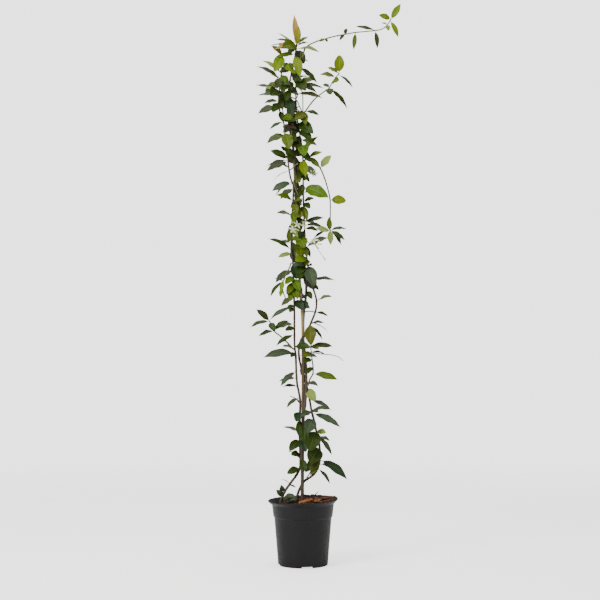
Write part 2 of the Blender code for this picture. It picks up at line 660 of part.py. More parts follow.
def build_pot():
    inner = [(LIP_RADIUS - WALL, POT_HEIGHT)] + pot_inner(WALL)
    verts, faces = lathe(pot_outer() + inner, POT_SEGMENTS)
    tilted = []
    for x, y, z in verts:
        share = max(0.0, (z - BAND_FOOT) / (POT_HEIGHT - BAND_FOOT))
        tilted.append((x, y, z + LIP_TILT * share * x / LIP_RADIUS))
    pot = make_object("pot", (tilted, faces), "charcoal plastic")
    notches = []
    for k in range(NOTCH_COUNT):
        angle = math.radians(NOTCH_START - 90 + 360 * k / NOTCH_COUNT)
        turn = Matrix.Rotation(angle, 4, "Z")
        out = Matrix.Translation((FOOT_RADIUS - FOOT_RING / 2, 0, NOTCH_HEIGHT / 2 - 1))
        notches.append(box(FOOT_RING * 3, NOTCH_WIDTH, NOTCH_HEIGHT + 2, turn @ out))
    combine(pot, notches, "DIFFERENCE")
    one_material(pot, "charcoal plastic")


def hole_cutter(stem):
    """A plain hole for a stem, a little wider than the stem itself."""
    low = [(p, r) for p, r in zip(stem.points, stem.radii) if p.z < HOLE_TOP]
    points = [p for p, _ in low]
    points[0] = points[0] - Vector((0, 0, HOLE_CLEAR))
    return tube(points, [r + HOLE_CLEAR for _, r in low], CANE_SIDES)


def build_soil(stems):
    profile = list(reversed(pot_inner(WALL + CLEAR)))
    profile[-1] = (BAND_RADIUS - WALL - CLEAR, BAND_FOOT + WALL)
    edge = COLLAR_RADIUS - WALL - CLEAR - 1.0
    profile += [(edge, SOIL_TOP - 2), (edge - 2, SOIL_TOP), (0, SOIL_TOP)]
    soil = make_object("potting_soil", lathe(profile, POT_SEGMENTS), "potting soil")
    combine(soil, [hole_cutter(stem) for stem in stems], "DIFFERENCE")
    one_material(soil, "potting soil")


def mound_edge(angle):
    """How far the bark reaches from the pot's axis: less on the left."""
    share = 0.5 + 0.5 * math.cos(angle)
    return MOUND_LEFT + (MOUND_RIGHT - MOUND_LEFT) * share ** 0.55


def mound_height(x, y):
    edge = mound_edge(math.atan2(y, x))
    share = min(1.0, math.hypot(x, y) / edge)
    bumps = math.sin(x * 0.21 + 1.0) * math.cos(y * 0.19)
    return SOIL_TOP + CLEAR + MOUND_FOOT + (1 - share ** 2) * (MOUND_RISE + bumps)


def mound_shape():
    """The bark layer's bed, a low mound with a flat underside."""
    base = SOIL_TOP + CLEAR
    verts = [(0, 0, base), (0, 0, mound_height(0, 0))]
    for ring in range(1, MOUND_RINGS + 1):
        for k in range(MOUND_SEGMENTS):
            angle = math.tau * k / MOUND_SEGMENTS
            reach = mound_edge(angle) * ring / MOUND_RINGS
            x = reach * math.cos(angle)
            y = reach * math.sin(angle)
            verts.append((x, y, mound_height(x, y)))
    rim = len(verts)
    for k in range(MOUND_SEGMENTS):
        angle = math.tau * k / MOUND_SEGMENTS
        reach = mound_edge(angle)
        verts.append((reach * math.cos(angle), reach * math.sin(angle), base))
    faces = []
    for k in range(MOUND_SEGMENTS):
        n = (k + 1) % MOUND_SEGMENTS
        faces.append((1, 2 + k, 2 + n))
        for ring in range(MOUND_RINGS - 1):
            a = 2 + ring * MOUND_SEGMENTS
            b = a + MOUND_SEGMENTS
            faces += [(a + k, b + k, b + n), (a + k, b + n, a + n)]
        top = 2 + (MOUND_RINGS - 1) * MOUND_SEGMENTS
        faces += [(top + k, rim + k, rim + n), (top + k, rim + n, top + n)]
        faces.append((0, rim + n, rim + k))
    return verts, faces


def chip_places(stems):
    """Seeded places for the chips, clear of every stem, the pot and the rim."""
    draw = random.Random(CHIP_SEED)
    feet = [stem.at_height(SOIL_TOP + MOUND_RISE) for stem in stems]
    places = []
    while len(places) < CHIP_COUNT:
        angle = draw.uniform(0, math.tau)
        reach = mound_edge(angle) * math.sqrt(draw.random())
        length = draw.uniform(*CHIP_LENGTH)
        x = reach * math.cos(angle)
        y = reach * math.sin(angle)
        inside = math.hypot(x, y) + length * 0.62 < COLLAR_RADIUS - WALL - CLEAR
        free = all(math.hypot(x - p.x, y - p.y) > length * 0.6 + r + 1.5 for p, _, r in feet)
        if not (inside and free):
            continue
        spin = Matrix.Rotation(draw.uniform(0, math.pi), 4, "Z")
        tilt = Matrix.Rotation(math.radians(draw.uniform(-CHIP_TILT, CHIP_TILT)), 4, "Y")
        roll = Matrix.Rotation(math.radians(draw.uniform(-CHIP_TILT, CHIP_TILT)), 4, "X")
        rest = Matrix.Translation((x, y, mound_height(x, y) + draw.uniform(0.2, 1.2)))
        size = (length, draw.uniform(*CHIP_WIDTH), draw.uniform(*CHIP_THICKNESS))
        places.append((size, rest @ spin @ tilt @ roll))
    return places


def chip_shape(size, place):
    """A bark chip: a box whose ends narrow."""
    points, faces = box(*size, place)
    centre = place.translation
    along = place.to_3x3() @ Vector((0, 1, 0))
    shaped = []
    for i, point in enumerate(points):
        squeeze = 0.35 if i < 4 else 0.18
        shaped.append(point - along * (point - centre).dot(along) * squeeze)
    return shaped, faces


def build_mulch(stems):
    mulch = make_object("bark_mulch", mound_shape(), "pine bark")
    splinter = smooth_route(SPLINTER, SHOOT_STEP)
    chips = [chip_shape(size, place) for size, place in chip_places(stems)]
    chips.append(tube(splinter, [SPLINTER_RADIUS] * len(splinter), STEM_SIDES))
    combine(mulch, chips, "UNION")
    beneath = Matrix.Translation((0, 0, SOIL_TOP + CLEAR - MOUND_SINK / 2))
    slab = box(LIP_RADIUS * 2, LIP_RADIUS * 2, MOUND_SINK, beneath)
    combine(mulch, [slab] + [hole_cutter(stem) for stem in stems], "DIFFERENCE")
    keep_one_body(mulch)
    one_material(mulch, "pine bark")


def cane_shape():
    """The cane, with a raised ring at each of its joints."""
    cane = Stem(CANE_ROUTE, (CANE_RADIUS, CANE_TOP_RADIUS), STEM_STEP * 3)
    stops = [(p, r) for p, r in zip(cane.points, cane.radii)]
    for height in CANE_RINGS:
        stops = [s for s in stops if abs(s[0].z - height) > CANE_RING_HALF * 3]
        for offset, grow in ((-CANE_RING_HALF, 0), (0, CANE_RING), (CANE_RING_HALF, 0)):
            centre, _, radius = cane.at_height(height + offset)
            stops.append((centre, radius + grow))
    stops.sort(key=lambda s: s[0].z)
    return cane, tube([p for p, _ in stops], [r for _, r in stops], CANE_SIDES)


def grow_plant():
    """Every stem, spray and leaf, as lists of shapes for each node."""
    cane, cane_body = cane_shape()
    stems = {
        "main_vine": Stem(MAIN_ROUTE, MAIN_RADII, STEM_STEP),
        "left_vine": Stem(LEFT_ROUTE, LEFT_RADII, STEM_STEP),
        "right_vine": Stem(RIGHT_ROUTE, RIGHT_RADII, STEM_STEP),
        "basal_shoot": Stem(BASAL_ROUTE, BASAL_RADII, SHOOT_STEP),
    }
    for name, (carrier, height, radii, marks) in SHOOTS.items():
        stems[name] = Stem(seated_route(stems[carrier], height, marks), radii, SHOOT_STEP)
        stems[name].marks = [Vector(p) for p in marks]
    shapes = {name: [stem.shape()] for name, stem in stems.items()}
    placed = Obstacles()
    placed.add("bamboo_cane", cane_body)
    for name, parts in shapes.items():
        placed.add(name, parts[0])
    for name, rows in TENDRILS.items():
        for mark, marks in rows:
            line = smooth_route([stems[name].marks[mark], *marks], SHOOT_STEP)
            last = len(line) - 1
            radii = [TENDRIL_RADII[0] + (TENDRIL_RADII[1] - TENDRIL_RADII[0]) * i / last
                     for i in range(last + 1)]
            shape = tube(line, radii, STEM_SIDES)
            shapes[name].append(shape)
            placed.add(name, shape)
    for name, (carrier, height, marks, flowers, buds) in SPRAYS.items():
        stalk = Stem(seated_route(stems[carrier], height, marks), STALK_RADII, SHOOT_STEP)
        shapes[name] = [stalk.shape()] + spray_shapes(stalk, flowers, buds)
        for shape in shapes[name]:
            placed.add(name, shape)
    leaves = []
    for name, rows in (("main_vine", MAIN_LEAVES), ("left_vine", LEFT_LEAVES),
                       ("right_vine", RIGHT_LEAVES)):
        for height, x, y, z, width, face in rows:
            leaves.append((name, stems[name].at_height(height)[0], Vector((x, y, z)), width, face))
    for name, rows in SHOOT_LEAVES.items():
        for rank, (mark, x, y, z, width, face) in enumerate(rows):
            rank -= [row[0] for row in rows].index(mark)
            leaves.append((name, stems[name].at_mark(mark, rank), Vector((x, y, z)), width, face))
    draw = random.Random(FAR_SEED)
    for name in FAR_RANGES:
        for height, reach, width in far_leaves(name, draw):
            root = stems[name].at_height(height)[0]
            leaves.append((name, root, root + reach, width, FAR_FACE))
    for name, root, tip, width, face in leaves:
        if tip.y < 0:
            tip = Vector((tip.x, tip.y * NEAR_REACH, tip.z))
        bent = settled_tip(name, root, tip, width, face, placed)
        if bent is None:
            continue
        shape = blade(root, bent, width, face)
        shapes[name].append(shape)
        placed.add(name, shape)
    return cane, cane_body, stems, shapes


def build_plant():
    cane, cane_body, stems, shapes = grow_plant()
    make_object("bamboo_cane", cane_body, "bamboo")
    for name, parts in shapes.items():
        finish_name = "cream petal" if name in SPRAYS else "leaf"
        thing = make_object(name, parts[0], finish_name)
        combine(thing, parts[1:], "UNION")
        keep_one_body(thing)
        one_material(thing, finish_name)
    return [cane] + [stems[n] for n in ("main_vine", "left_vine", "right_vine", "basal_shoot")]


def main():
    clear_scene()
    stems = build_plant()
    build_pot()
    build_soil(stems)
    build_mulch(stems)


main()
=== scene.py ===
"""Looks of a star jasmine that climbs a cane in a nursery pot: fine leaves, bark,
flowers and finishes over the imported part, on a pale floor in soft studio light.

Sizes are in millimetres, and become metres as meshes, finishes, lamps and the camera
take them. X is to the right, Y away from the viewer, Z up, and the origin is under
the pot's centre.
"""

import json
import math
import random
from collections import namedtuple

import bpy
from mathutils import Matrix, Vector, kdtree, noise

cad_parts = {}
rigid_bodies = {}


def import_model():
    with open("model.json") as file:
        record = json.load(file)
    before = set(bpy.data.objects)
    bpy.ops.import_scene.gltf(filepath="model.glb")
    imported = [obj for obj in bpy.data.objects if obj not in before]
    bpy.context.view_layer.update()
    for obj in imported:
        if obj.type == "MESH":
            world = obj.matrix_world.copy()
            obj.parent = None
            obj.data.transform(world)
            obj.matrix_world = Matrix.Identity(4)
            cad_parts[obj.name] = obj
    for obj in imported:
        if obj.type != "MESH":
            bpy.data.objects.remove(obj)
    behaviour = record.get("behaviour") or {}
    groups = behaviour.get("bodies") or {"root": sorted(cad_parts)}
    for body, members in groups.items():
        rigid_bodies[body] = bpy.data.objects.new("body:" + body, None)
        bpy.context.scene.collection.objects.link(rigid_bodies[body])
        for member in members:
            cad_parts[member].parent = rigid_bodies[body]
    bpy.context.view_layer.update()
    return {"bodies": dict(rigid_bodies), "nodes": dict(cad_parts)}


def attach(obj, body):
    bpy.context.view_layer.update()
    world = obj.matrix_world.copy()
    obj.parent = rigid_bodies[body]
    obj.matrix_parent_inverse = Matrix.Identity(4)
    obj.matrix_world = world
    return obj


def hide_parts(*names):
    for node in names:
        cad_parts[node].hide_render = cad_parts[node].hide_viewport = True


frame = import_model()

MM = 0.001
BODY = "root"

# Camera and light
CAMERA_PLACE = (-6.4, -3400.0, 567.0)
SENSOR = 36.0
FOCAL = 95.2
WORLD_LIGHT = 0.42
BACKDROP_WHITE = 2.8
FLOOR_GLOW = 1.5
# Each lamp: its place, what it points at, its width and its power in watts
LAMPS = {
    "key softbox": ((-1900, -1900, 2300), (0, 0, 600), 1600, 105.0),
    "fill softbox": ((2200, -2200, 1300), (0, 0, 500), 1800, 20.0),
    "top softbox": ((0, 300, 2900), (0, 0, 300), 1600, 44.0),
}
FLOOR_REACH = 2600.0
FLOOR_SOLID = 900.0
FLOOR_CLEAR = 2400.0
FLOOR_SIDES = 96

# Pot
POT_HEIGHT = 140.0
LIP_RADIUS = 75.0
LIP_DEPTH = 1.8
COLLAR_RADIUS = 66.5
COLLAR_HEIGHT = 130.0
BAND_RADIUS = 63.5
BAND_FOOT = 104.0
STEP_IN = 2.0
STEP_DROP = 1.5
FOOT_RADIUS = 53.4
FOOT_ROUND = 1.4
FOOT_RING = 3.0
WALL = 1.3
PAD_RADIUS = 35.0
PAD_SLOPE = 1.6
GROOVE_HEIGHT = 4.0
WALL_ROWS = (4.6, 8.0, 30.0, 56.0, 82.0)
POT_SEGMENTS = 160
POT_SHARP = 30.0
POT_EASE = 1.1
EASE_LIMIT = 0.4
EASE_POINTS = 4
LIP_TILT = 2.4
NOTCH_WIDTH = 23.0
NOTCH_HEIGHT = 3.4
NOTCH_COUNT = 4
NOTCH_START = 10.0
NOTCH_SPARE = 2.0
DUST_FADE = (4.0, 48.0)

# Soil and bark
SOIL_TOP = 128.0
SOIL_RINGS = 26
SOIL_SEGMENTS = 96
SOIL_ROUGH = 1.7
SOIL_DROP = 0.6
SOIL_MARGIN = 1.0
# Layers of noise: the level of each, its scale and its weight
SOIL_NOISE = ((0, 0.09, 1.0), (9, 0.3, 0.5))
MOUND_NOISE = ((3, 0.16, 1.0), (5, 0.5, 0.6))
CRUMB_COUNT = 320
CRUMB_RADIUS = (0.6, 2.3)
CRUMB_SCALE = (0.6, 1.0)
CRUMB_RISE = 0.3
CRUMB_MARGIN = 3.0
LUMP_RINGS = 5
LUMP_SIDES = 7
LUMP_CAP = 0.15
LUMP_FLATNESS = 0.8
LUMP_GRAIN = 1.7
LUMP_ROUGH = 0.45
MOUND_FOOT = 2.8
MOUND_RISE = 8.0
MOUND_RIGHT = 59.0
MOUND_LEFT = 30.0
MOUND_RINGS = 20
MOUND_SEGMENTS = 80
MOUND_ROUGH = 1.4
MOUND_SINK = 1.5
MOUND_BASE = 1.0
MOUND_FULLNESS = 0.55
MOUND_WAVES = (0.21, 0.19)
CHIP_COUNT = 120
CHIP_LENGTH = (9.0, 24.0)
CHIP_SLENDER = (0.34, 0.6)
CHIP_THICKNESS = (1.5, 3.4)
CHIP_LIFT = (0.0, 3.0)
CHIP_REACH = 0.56
CHIP_CUP = (-0.25, 0.35)
CHIP_RAGGED = 0.20
CHIP_TAPER = 0.28
CHIP_UNEVEN = 0.22
CHIP_EDGE = 0.35
CHIP_STEP = 0.132
CHIP_GRAIN = 0.15
CHIP_GRID = (8, 4)
CHIP_TILT = 20.0
CHIP_SEED = 23
CHIP_SHARP = 38.0
FINES_COUNT = 260
FINES_LENGTH = (2.2, 6.0)
FINES_LIFT = (0.4, 4.0)
FINES_GRID = (3, 2)
FINES_THINNESS = 0.4
STEM_GAP = 0.8
MOSSY_FROM = 47.0
MOSSY_SHARE = 0.75
DARK_TO = -3.0
DARK_SHARE = 0.7
MIDDLE_BARK = ("orange bark", "brown bark", "brown bark", "dark bark", "brown bark")
# Bark set one by one: place, size, turns and finish of each piece. It is heaped against the lip
# at the right and the back, and the last piece is the one that shows most, before the stems.
SET_CHIPS = (
    ((12.0, 30.0, 143.4), (26.0, 13.0, 3.4), (-10.0, 8.0, 4.0), "dark bark"),
    ((30.0, 34.0, 143.6), (24.0, 12.0, 3.4), (16.0, 8.0, -5.0), "brown bark"),
    ((44.0, 26.0, 143.4), (22.0, 11.0, 3.2), (-14.0, 6.0, 6.0), "dark bark"),
    ((27.0, -34.0, 141.2), (22.0, 11.0, 3.2), (-18.0, -12.0, 5.0), "brown bark"),
    ((60.0, -16.0, 141.0), (23.0, 10.0, 3.0), (-8.0, -12.0, 6.0), "mossy bark"),
    ((62.0, -2.0, 141.6), (21.0, 11.0, 3.2), (4.0, -12.0, -8.0), "dark bark"),
    ((60.0, 12.0, 141.2), (22.0, 9.0, 3.0), (14.0, -12.0, 5.0), "mossy bark"),
    ((55.0, 25.0, 141.0), (18.0, 10.0, 3.0), (26.0, -12.0, 0.0), "brown bark"),
    ((50.0, -27.0, 140.4), (19.0, 9.0, 2.8), (-28.0, -12.0, 4.0), "brown bark"),
    ((48.0, -6.0, 142.4), (20.0, 12.0, 3.4), (30.0, -4.0, 8.0), "brown bark"),
    ((43.0, 12.0, 143.6), (22.0, 12.0, 3.4), (-20.0, 4.0, -6.0), "dark bark"),
    ((5.0, -38.0, 141.6), (30.0, 15.0, 4.0), (6.0, -14.0, -5.0), "orange bark"),
)
SPLINTER = ((15.0, -30.0, 134.0), (24.0, -31.0, 151.0), (33.0, -32.0, 161.0))
SPLINTER_RADII = (2.6, 0.78)
SPLINTER_ROUGH = 0.3

# Cane
CANE_RADII = (3.5, 3.0)
CANE_RING = 0.55
CANE_RING_HALF = 2.6
CANE_RINGS = (262.0, 428.0, 590.0, 748.0, 900.0)
# Heights between which the cane keeps its pale colour, and how far the painted shade that darkens it
# below and above them fades
CANE_UNSHADED = (500.0, 660.0)
CANE_SHADE_FADE = 60.0
# How strongly the painted shade darkens the cane at its darkest
CANE_PAINTED_SHADE = 0.8
CANE_ROUGH = 0.05
CANE_SIDES = 28
CANE_STEP = 4.0
CANE_ROUTE = (
    (-1, 0, 14), (-1, 0, 140), (-0.5, 0, 267), (0, 0, 352), (0, 0, 481), (-2, 0, 545),
    (-5.5, 0, 588), (-13, 0, 695), (-15.5, 0, 803), (-23.5, 0, 931), (-27, 0, 995),
    (-29, 0, 1025),
)

# Stems
STEM_STEP = 26.0
SHOOT_STEP = 16.0
FINE_STEP = 4.0
FINE_SIDES = 14
SEAT_LENGTH = 3.0
CLEAR = 0.3
ROOT_STAGGER = 0.7
KNOT_STEP = 43.0
KNOT_SWELL = 0.16
KNOT_HALF = 3.2
BARK_SWELL = 1.45
BARK_ROUGH = 0.12
TUBE_GRAIN = 0.35
PLANT_SHARP = 42.0
# The bud that ends a stem: how far past the end each ring lies, and its share of the end's radius
END_BUD = ((0.96, 1.3), (1.92, 1.0), (2.4, 0.35))

MAIN_ROUTE = (
    (-1.5, -7.6, 98), (-1.5, -7.6, 130), (-1.5, -7.4, 165), (-1.5, -7.2, 210), (-3, -6.8, 250),
    (-1, -7, 290), (2, -6.8, 325), (5, -5, 352), (7, 0.5, 395), (5, 5.4, 440), (1, 7.2, 480),
    (0.5, 7.4, 515), (2.5, 7, 545), (6, 5, 573), (7, 1, 600), (4, -1.5, 635), (-3, -4, 680),
    (-7, -3.5, 720), (-8, 1, 760), (-9.5, 4.6, 800), (-14, 7, 850), (-22, 7, 900),
    (-30, 4.5, 940), (-33.5, -1, 980), (-31, -6.6, 1015), (-25, -4, 1052), (-18, 0, 1085),
    (-13, 0, 1118),
)
LEFT_ROUTE = (
    (-49, -4, 100), (-49, -4, 118), (-48, -4, 136), (-39, -3, 157), (-28, -1, 173),
    (-14, 2, 192), (-6, 5, 210), (-6.2, 4, 240), (-7, 1.5, 280), (-6.6, 3, 320), (-6, 5, 350),
    (-9, 3, 370), (-12.5, 1, 387), (-14.5, 0, 417), (-15.5, 0, 449), (-18, 0, 470),
    (-18.5, -1, 541), (-20, -2, 600), (-21.5, -2, 648), (-25, -2, 674), (-24.5, -3, 715),
    (-22.5, -3, 760), (-20.5, -6, 808), (-26, -4.5, 826), (-30, -3, 847), (-32.5, -2, 873),
    (-36.5, -2, 900), (-38.5, -2, 922), (-42, -2, 950), (-50, -2, 972), (-52, -2, 1002),
    (-47, 0, 1045), (-45, -2, 1070), (-44, -3, 1094),
)
RIGHT_ROUTE = (
    (-13, 3, 100), (-13, 3, 120), (-13, 3.5, 142), (-10, 5, 154), (-4.5, 7.6, 166),
    (3, 7.6, 178), (13, 4, 185), (24, 1, 194), (30, 0, 203), (34, -1, 214), (36, -2, 226),
    (36, -2, 246), (33.5, -2, 267), (28, -2, 288), (23.5, -1, 310), (18.5, 0, 328),
    (14.5, 3, 352), (10, 6, 374), (4, 8.2, 396), (-3, 8.4, 418), (-8, 5.5, 442),
    (-8.8, 0, 462), (-5, -7, 480), (5, -7.5, 496), (14, -4, 511), (20, -2, 525), (26, -2, 540),
    (29, -2, 556), (28, -2, 571), (24, -2, 585), (18.5, -2, 600), (12.5, -2.5, 628),
    (8.5, -3, 655), (4.5, 0, 695), (2.5, 2, 740), (0.5, 2.5, 800), (0, 3, 862), (-3, 3, 900),
    (-9, 2, 935), (-13, 0, 962), (-15, -1, 995), (-15.5, -2, 1025), (-11, -5, 1054),
    (-6, -5.5, 1080), (-4, -7, 1096),
)
BASAL_ROUTE = ((-38, -20, 104), (-38, -20, 120), (-39, -20, 138), (-42, -20, 149), (-44, -19, 158))
# Each stem that grows from the soil: its route, its two radii, and its coarse step
ROOTED = {
    "main_vine": (MAIN_ROUTE, (2.6, 1.2), STEM_STEP),
    "left_vine": (LEFT_ROUTE, (2.0, 1.1), STEM_STEP),
    "right_vine": (RIGHT_ROUTE, (2.0, 1.0), STEM_STEP),
    "basal_shoot": (BASAL_ROUTE, (1.3, 0.9), SHOOT_STEP),
}
# Each shoot: the vine that it grows on, the height of its seat, its two radii,
# and the points that its stem passes, which are also where its leaves grow.
SHOOTS = {
    "reaching_shoot": ("right_vine", 1088.0, (1.2, 0.8), (
        (6, -7, 1107), (26, -5, 1119), (47, -3, 1126), (69, -2, 1132), (90, -2, 1136),
        (112, -2, 1140), (133, -1, 1142), (155, 0, 1144.5), (170, 0, 1148), (181, 0, 1157),
        (188, 0, 1168))),
    "upper_right_shoot": ("right_vine", 962.0, (1.3, 0.8), (
        (4, -4, 970), (13, -5, 982), (26, -5, 998), (41, -4, 1010), (56, -3, 1021),
        (63, -2, 1034), (70, -2, 1043), (77, -2, 1052))),
    "hanging_shoot": ("right_vine", 866.0, (1.3, 0.8), (
        (11, -1, 872), (24, -3, 867), (37, -4, 849), (46, -4, 828), (53, -4, 805),
        (58, -4, 781), (58.5, -4, 748), (58, -4, 714))),
    "left_shoot": ("left_vine", 463.0, (1.3, 0.9), (
        (-28, -2, 470), (-39, -3, 481), (-50, -4, 491), (-62, -4, 501), (-71, -4, 521))),
    "loop_shoot": ("left_vine", 646.0, (1.1, 0.8), (
        (-29, -4, 636), (-37, -5, 620), (-42, -5, 607), (-43.5, -5, 592), (-40, -5, 577),
        (-33, -6, 562))),
    "lower_right_shoot": ("main_vine", 384.0, (1.3, 0.8), (
        (14, -5, 396), (21, -6, 409), (21.5, -6, 424), (19.5, -6, 440), (17.5, -6, 456),
        (16.5, -6, 469))),
}
# Thin tendrils: the place in the shoot's points where each starts, and the points that it passes
TENDRILS = {
    "lower_right_shoot": ((4, ((34, -4, 452), (56, -3, 450), (74, -3, 446), (86, -3, 437))),),
}
TENDRIL_RADII = (0.8, 0.5)

# Leaves on the vines: height of the leaf's root on its vine, its tip (x, y, z),
# the blade's width, and how far the blade turns from the sky to the viewer.
# The letters in VINE_TONES are their tones, in the same order.
MAIN_LEAVES = (
    (1114, -19, -4, 1178, 13, 85), (1112, -9, -9, 1152, 15, 80), (1106, -56, 8, 1141, 7, 35),
    (1114, 12, 6, 1132, 10, 40), (1110, -58, -6, 1124, 15, 35), (1104, -71, 4, 1113, 13, 30),
    (1108, -62, -15, 1101, 14, 50), (1113, -44, -21, 1104, 24, 80), (1104, 35, -9, 1092, 16, 35),
    (1111, 14, 12, 1121, 10, 30), (1094, -59, -9, 1086, 12, 60), (1092, -6, -22, 1038, 20, 75),
    (1088, 13, -2, 1077, 13, 30), (1036, -2, -20, 1032, 18, 45), (1002, -24, -24, 957, 21, 80),
    (702, 3, -24, 677, 25, 85), (684, -7, -22, 660, 22, 80), (642, -11, -15, 621, 18, 75),
    (640, 25, 13, 590, 28, 85), (586, 19, -11, 569, 14, 70),
)
LEFT_LEAVES = (
    (1092, -61, -17, 1053, 24, 85), (1076, -16, -17, 1047, 16, 60), (1052, -88, 0, 1080, 13, 40),
    (1036, -100, 4, 1068, 13, 42), (1016, -69, -23, 1000, 25, 80), (1042, -56, -19, 1016, 18, 75),
    (1010, -84, -5, 1024, 10, 48), (1014, -103, 4, 1028, 11, 45), (1003, -98, 9, 1006, 10, 45),
    (992, -83, -4, 988, 12, 45), (990, -65, -13, 967, 18, 75), (948, -72, 4, 933, 11, 44),
    (914, -59, -3, 924, 7, 35), (926, -29, -18, 888, 25, 80), (941, -14, -17, 930, 16, 45),
    (882, -47, 6, 897, 11, 35), (869, -70, -8, 886, 18, 60), (866, -79, 3, 852, 14, 25),
    (850, -47, -7, 857, 7, 50), (844, -64, -2, 822, 4, 20), (819, -66, -7, 800, 19, 50),
    (816, -60, 5, 790, 12, 30), (779, -57, -13, 791, 15, 50), (777, -2, -19, 780, 13, 50),
    (757, -18, -15, 730, 14, 80), (719, -22, -13, 688, 6, 85), (728, -31, -9, 689, 13, 80),
    (674, -75, -4, 698, 14, 40), (667, -54, -7, 658, 13, 50), (618, -38, -12, 601, 16, 60),
    (606, -35, -15, 578, 16, 70), (612, -7, -16, 586, 18, 70), (596, -11, -16, 569, 17, 70),
    (590, -30, -17, 565, 15, 75), (560, 15, -18, 549, 19, 55), (556, -34, -9, 548, 12, 45),
    (552, -71, -5, 524, 14, 35), (493, -58, -5, 469, 14, 35), (508, -38, -11, 502, 14, 55),
    (452, -85, -8, 444, 21, 50), (468, 17, -18, 466, 19, 62), (454, -26, -11, 445, 12, 60),
    (414, -48, -7, 382, 15, 40), (381, -45, 3, 380, 12, 28), (357, -35, 1, 336, 13, 28),
    (327, -14, -15, 308, 20, 70), (312, -7, -17, 272, 15, 80), (268, -29, -11, 246, 20, 65),
    (236, -26, -12, 238, 17, 60), (207, -34, -9, 196, 17, 60), (171, -15, -8, 166, 6, 30),
    (173, -47, -5, 184, 4, 20),
)
RIGHT_LEAVES = (
    (1066, 31, -4, 1030, 15, 42), (1042, 12, 9, 1046, 8, 35), (1038, 6, -27, 1010, 24, 80),
    (1034, 30, -13, 1008, 16, 45), (1026, 46, 7, 1021, 12, 46), (1008, 42, -7, 998, 15, 42),
    (948, 22, -22, 920, 25, 80), (932, 19, -15, 905, 19, 75), (884, 33, -5, 917, 13, 50),
    (900, 3, -26, 872, 25, 85), (868, 6, -20, 828, 19, 85), (843, 4, -12, 821, 16, 70),
    (838, 14, -4, 820, 9, 60), (808, 54, -17, 785, 29, 70), (778, 24, -4, 784, 12, 50),
    (775, 15, -14, 762, 16, 60), (769, 9, -12, 735, 14, 80), (733, 45, -2, 743, 14, 42),
    (727, 47, 4, 721, 14, 35), (720, 32, -9, 714, 13, 42), (657, -17, -20, 650, 20, 70),
    (644, -25, -14, 640, 16, 48), (684, 16, -8, 657, 9, 70), (608, 69, -2, 609, 15, 30),
    (603, 34, -6, 588, 9, 60), (517, 17, -17, 470, 24, 85), (515, 46, 3, 518, 12, 28),
    (513, 42, -4, 481, 9, 30), (519, 54, 6, 498, 5, 25), (541, 54, -3, 532, 12, 28),
    (378, 26, -10, 351, 21, 75), (353, 61, -2, 330, 14, 35), (328, -6, -18, 318, 16, 55),
    (324, 81, -5, 294, 18, 45), (313, 8, -25, 285, 27, 85), (288, 13, -27, 247, 35, 85),
    (286, 49, -8, 283, 15, 50), (277, 62, -2, 234, 13, 32), (252, 15, -23, 220, 35, 85),
    (240, 5, -17, 200, 21, 80), (225, 95, -7, 183, 21, 50), (206, 58, 3, 172, 9, 40),
    (217, 15, -17, 194, 14, 70),
)
VINE_TONES = {
    "main_vine": "zypgddzgodgbddtggdsd",
    "left_vine": "bbpdddpdssdsdomddddnsdgogpgdpgggggtdsddsddssstddddss",
    "right_vine": "dddddoddggbddgddodddbsdddosdpdpssssdpsddtso",
}
# Leaves on the shoots: the place of the root in the shoot's list of points, then
# the same five values. The letters in SHOOT_TONES are their tones.
SHOOT_LEAVES = {
    "reaching_shoot": (
        (2, 36, -4, 1120, 8, 60), (2, 53, -4, 1119, 6, 60), (4, 78, -4, 1122, 7, 60),
        (4, 94, -4, 1148, 9, 50), (5, 108, -6, 1101, 10, 70), (7, 112, 4, 1154, 9, 60),
        (7, 159, -4, 1104, 10, 60), (10, 162, -6, 1176, 13, 80), (10, 209, -4, 1201, 14, 80),
        (9, 168, -2, 1160, 5, 50), (9, 183, -8, 1142, 10, 80), (10, 204, -4, 1128, 11, 70)),
    "upper_right_shoot": (
        (0, 35, 0, 963, 12, 48), (0, -16, -22, 950, 22, 75), (7, 78, -4, 1091, 22, 85),
        (7, 53, 3, 1066, 12, 45), (6, 36, -5, 1049, 14, 50), (5, 77, -15, 1035, 18, 70),
        (7, 107, 0, 1021, 8, 45), (4, 43, 7, 1030, 12, 40), (4, 58, -14, 1004, 17, 75),
        (4, 95, 3, 976, 13, 40)),
    "hanging_shoot": (
        (0, 42, -7, 883, 13, 50), (2, 60, -5, 876, 17, 60), (0, 36, -13, 848, 14, 55),
        (5, 92, -5, 779, 20, 80), (7, 28, -7, 720, 14, 60), (7, 56, -9, 745, 12, 80),
        (7, 94, 4, 719, 12, 35), (7, 90, -4, 694, 13, 40), (7, 82, 5, 684, 13, 38),
        (7, 59, -11, 684, 13, 75), (7, 22, 4, 698, 10, 35)),
    "left_shoot": (
        (4, -100, -7, 547, 15, 55), (4, -113, 2, 508, 15, 35), (4, -60, -16, 500, 15, 65),
        (3, -30, -8, 523, 14, 50), (3, -95, -5, 489, 14, 35)),
    "loop_shoot": (
        (3, -49, -10, 574, 9, 80), (2, -61, 3, 613, 7, 35), (2, -70, 0, 573, 10, 40)),
    "lower_right_shoot": (
        (5, 64, -5, 468, 15, 50), (4, 49, 3, 449, 11, 25), (4, 1, -14, 446, 15, 60),
        (3, 0, -13, 435, 13, 60), (2, 4, -14, 408, 13, 50), (1, 74, -8, 397, 19, 50)),
    "basal_shoot": (
        (3, -57, -22, 164, 12, 80), (4, -46, -26, 176, 12, 75), (3, -15, -26, 150, 13, 50),
        (2, -14, -33, 144, 14, 40), (3, -36, -40, 146, 12, 50)),
}
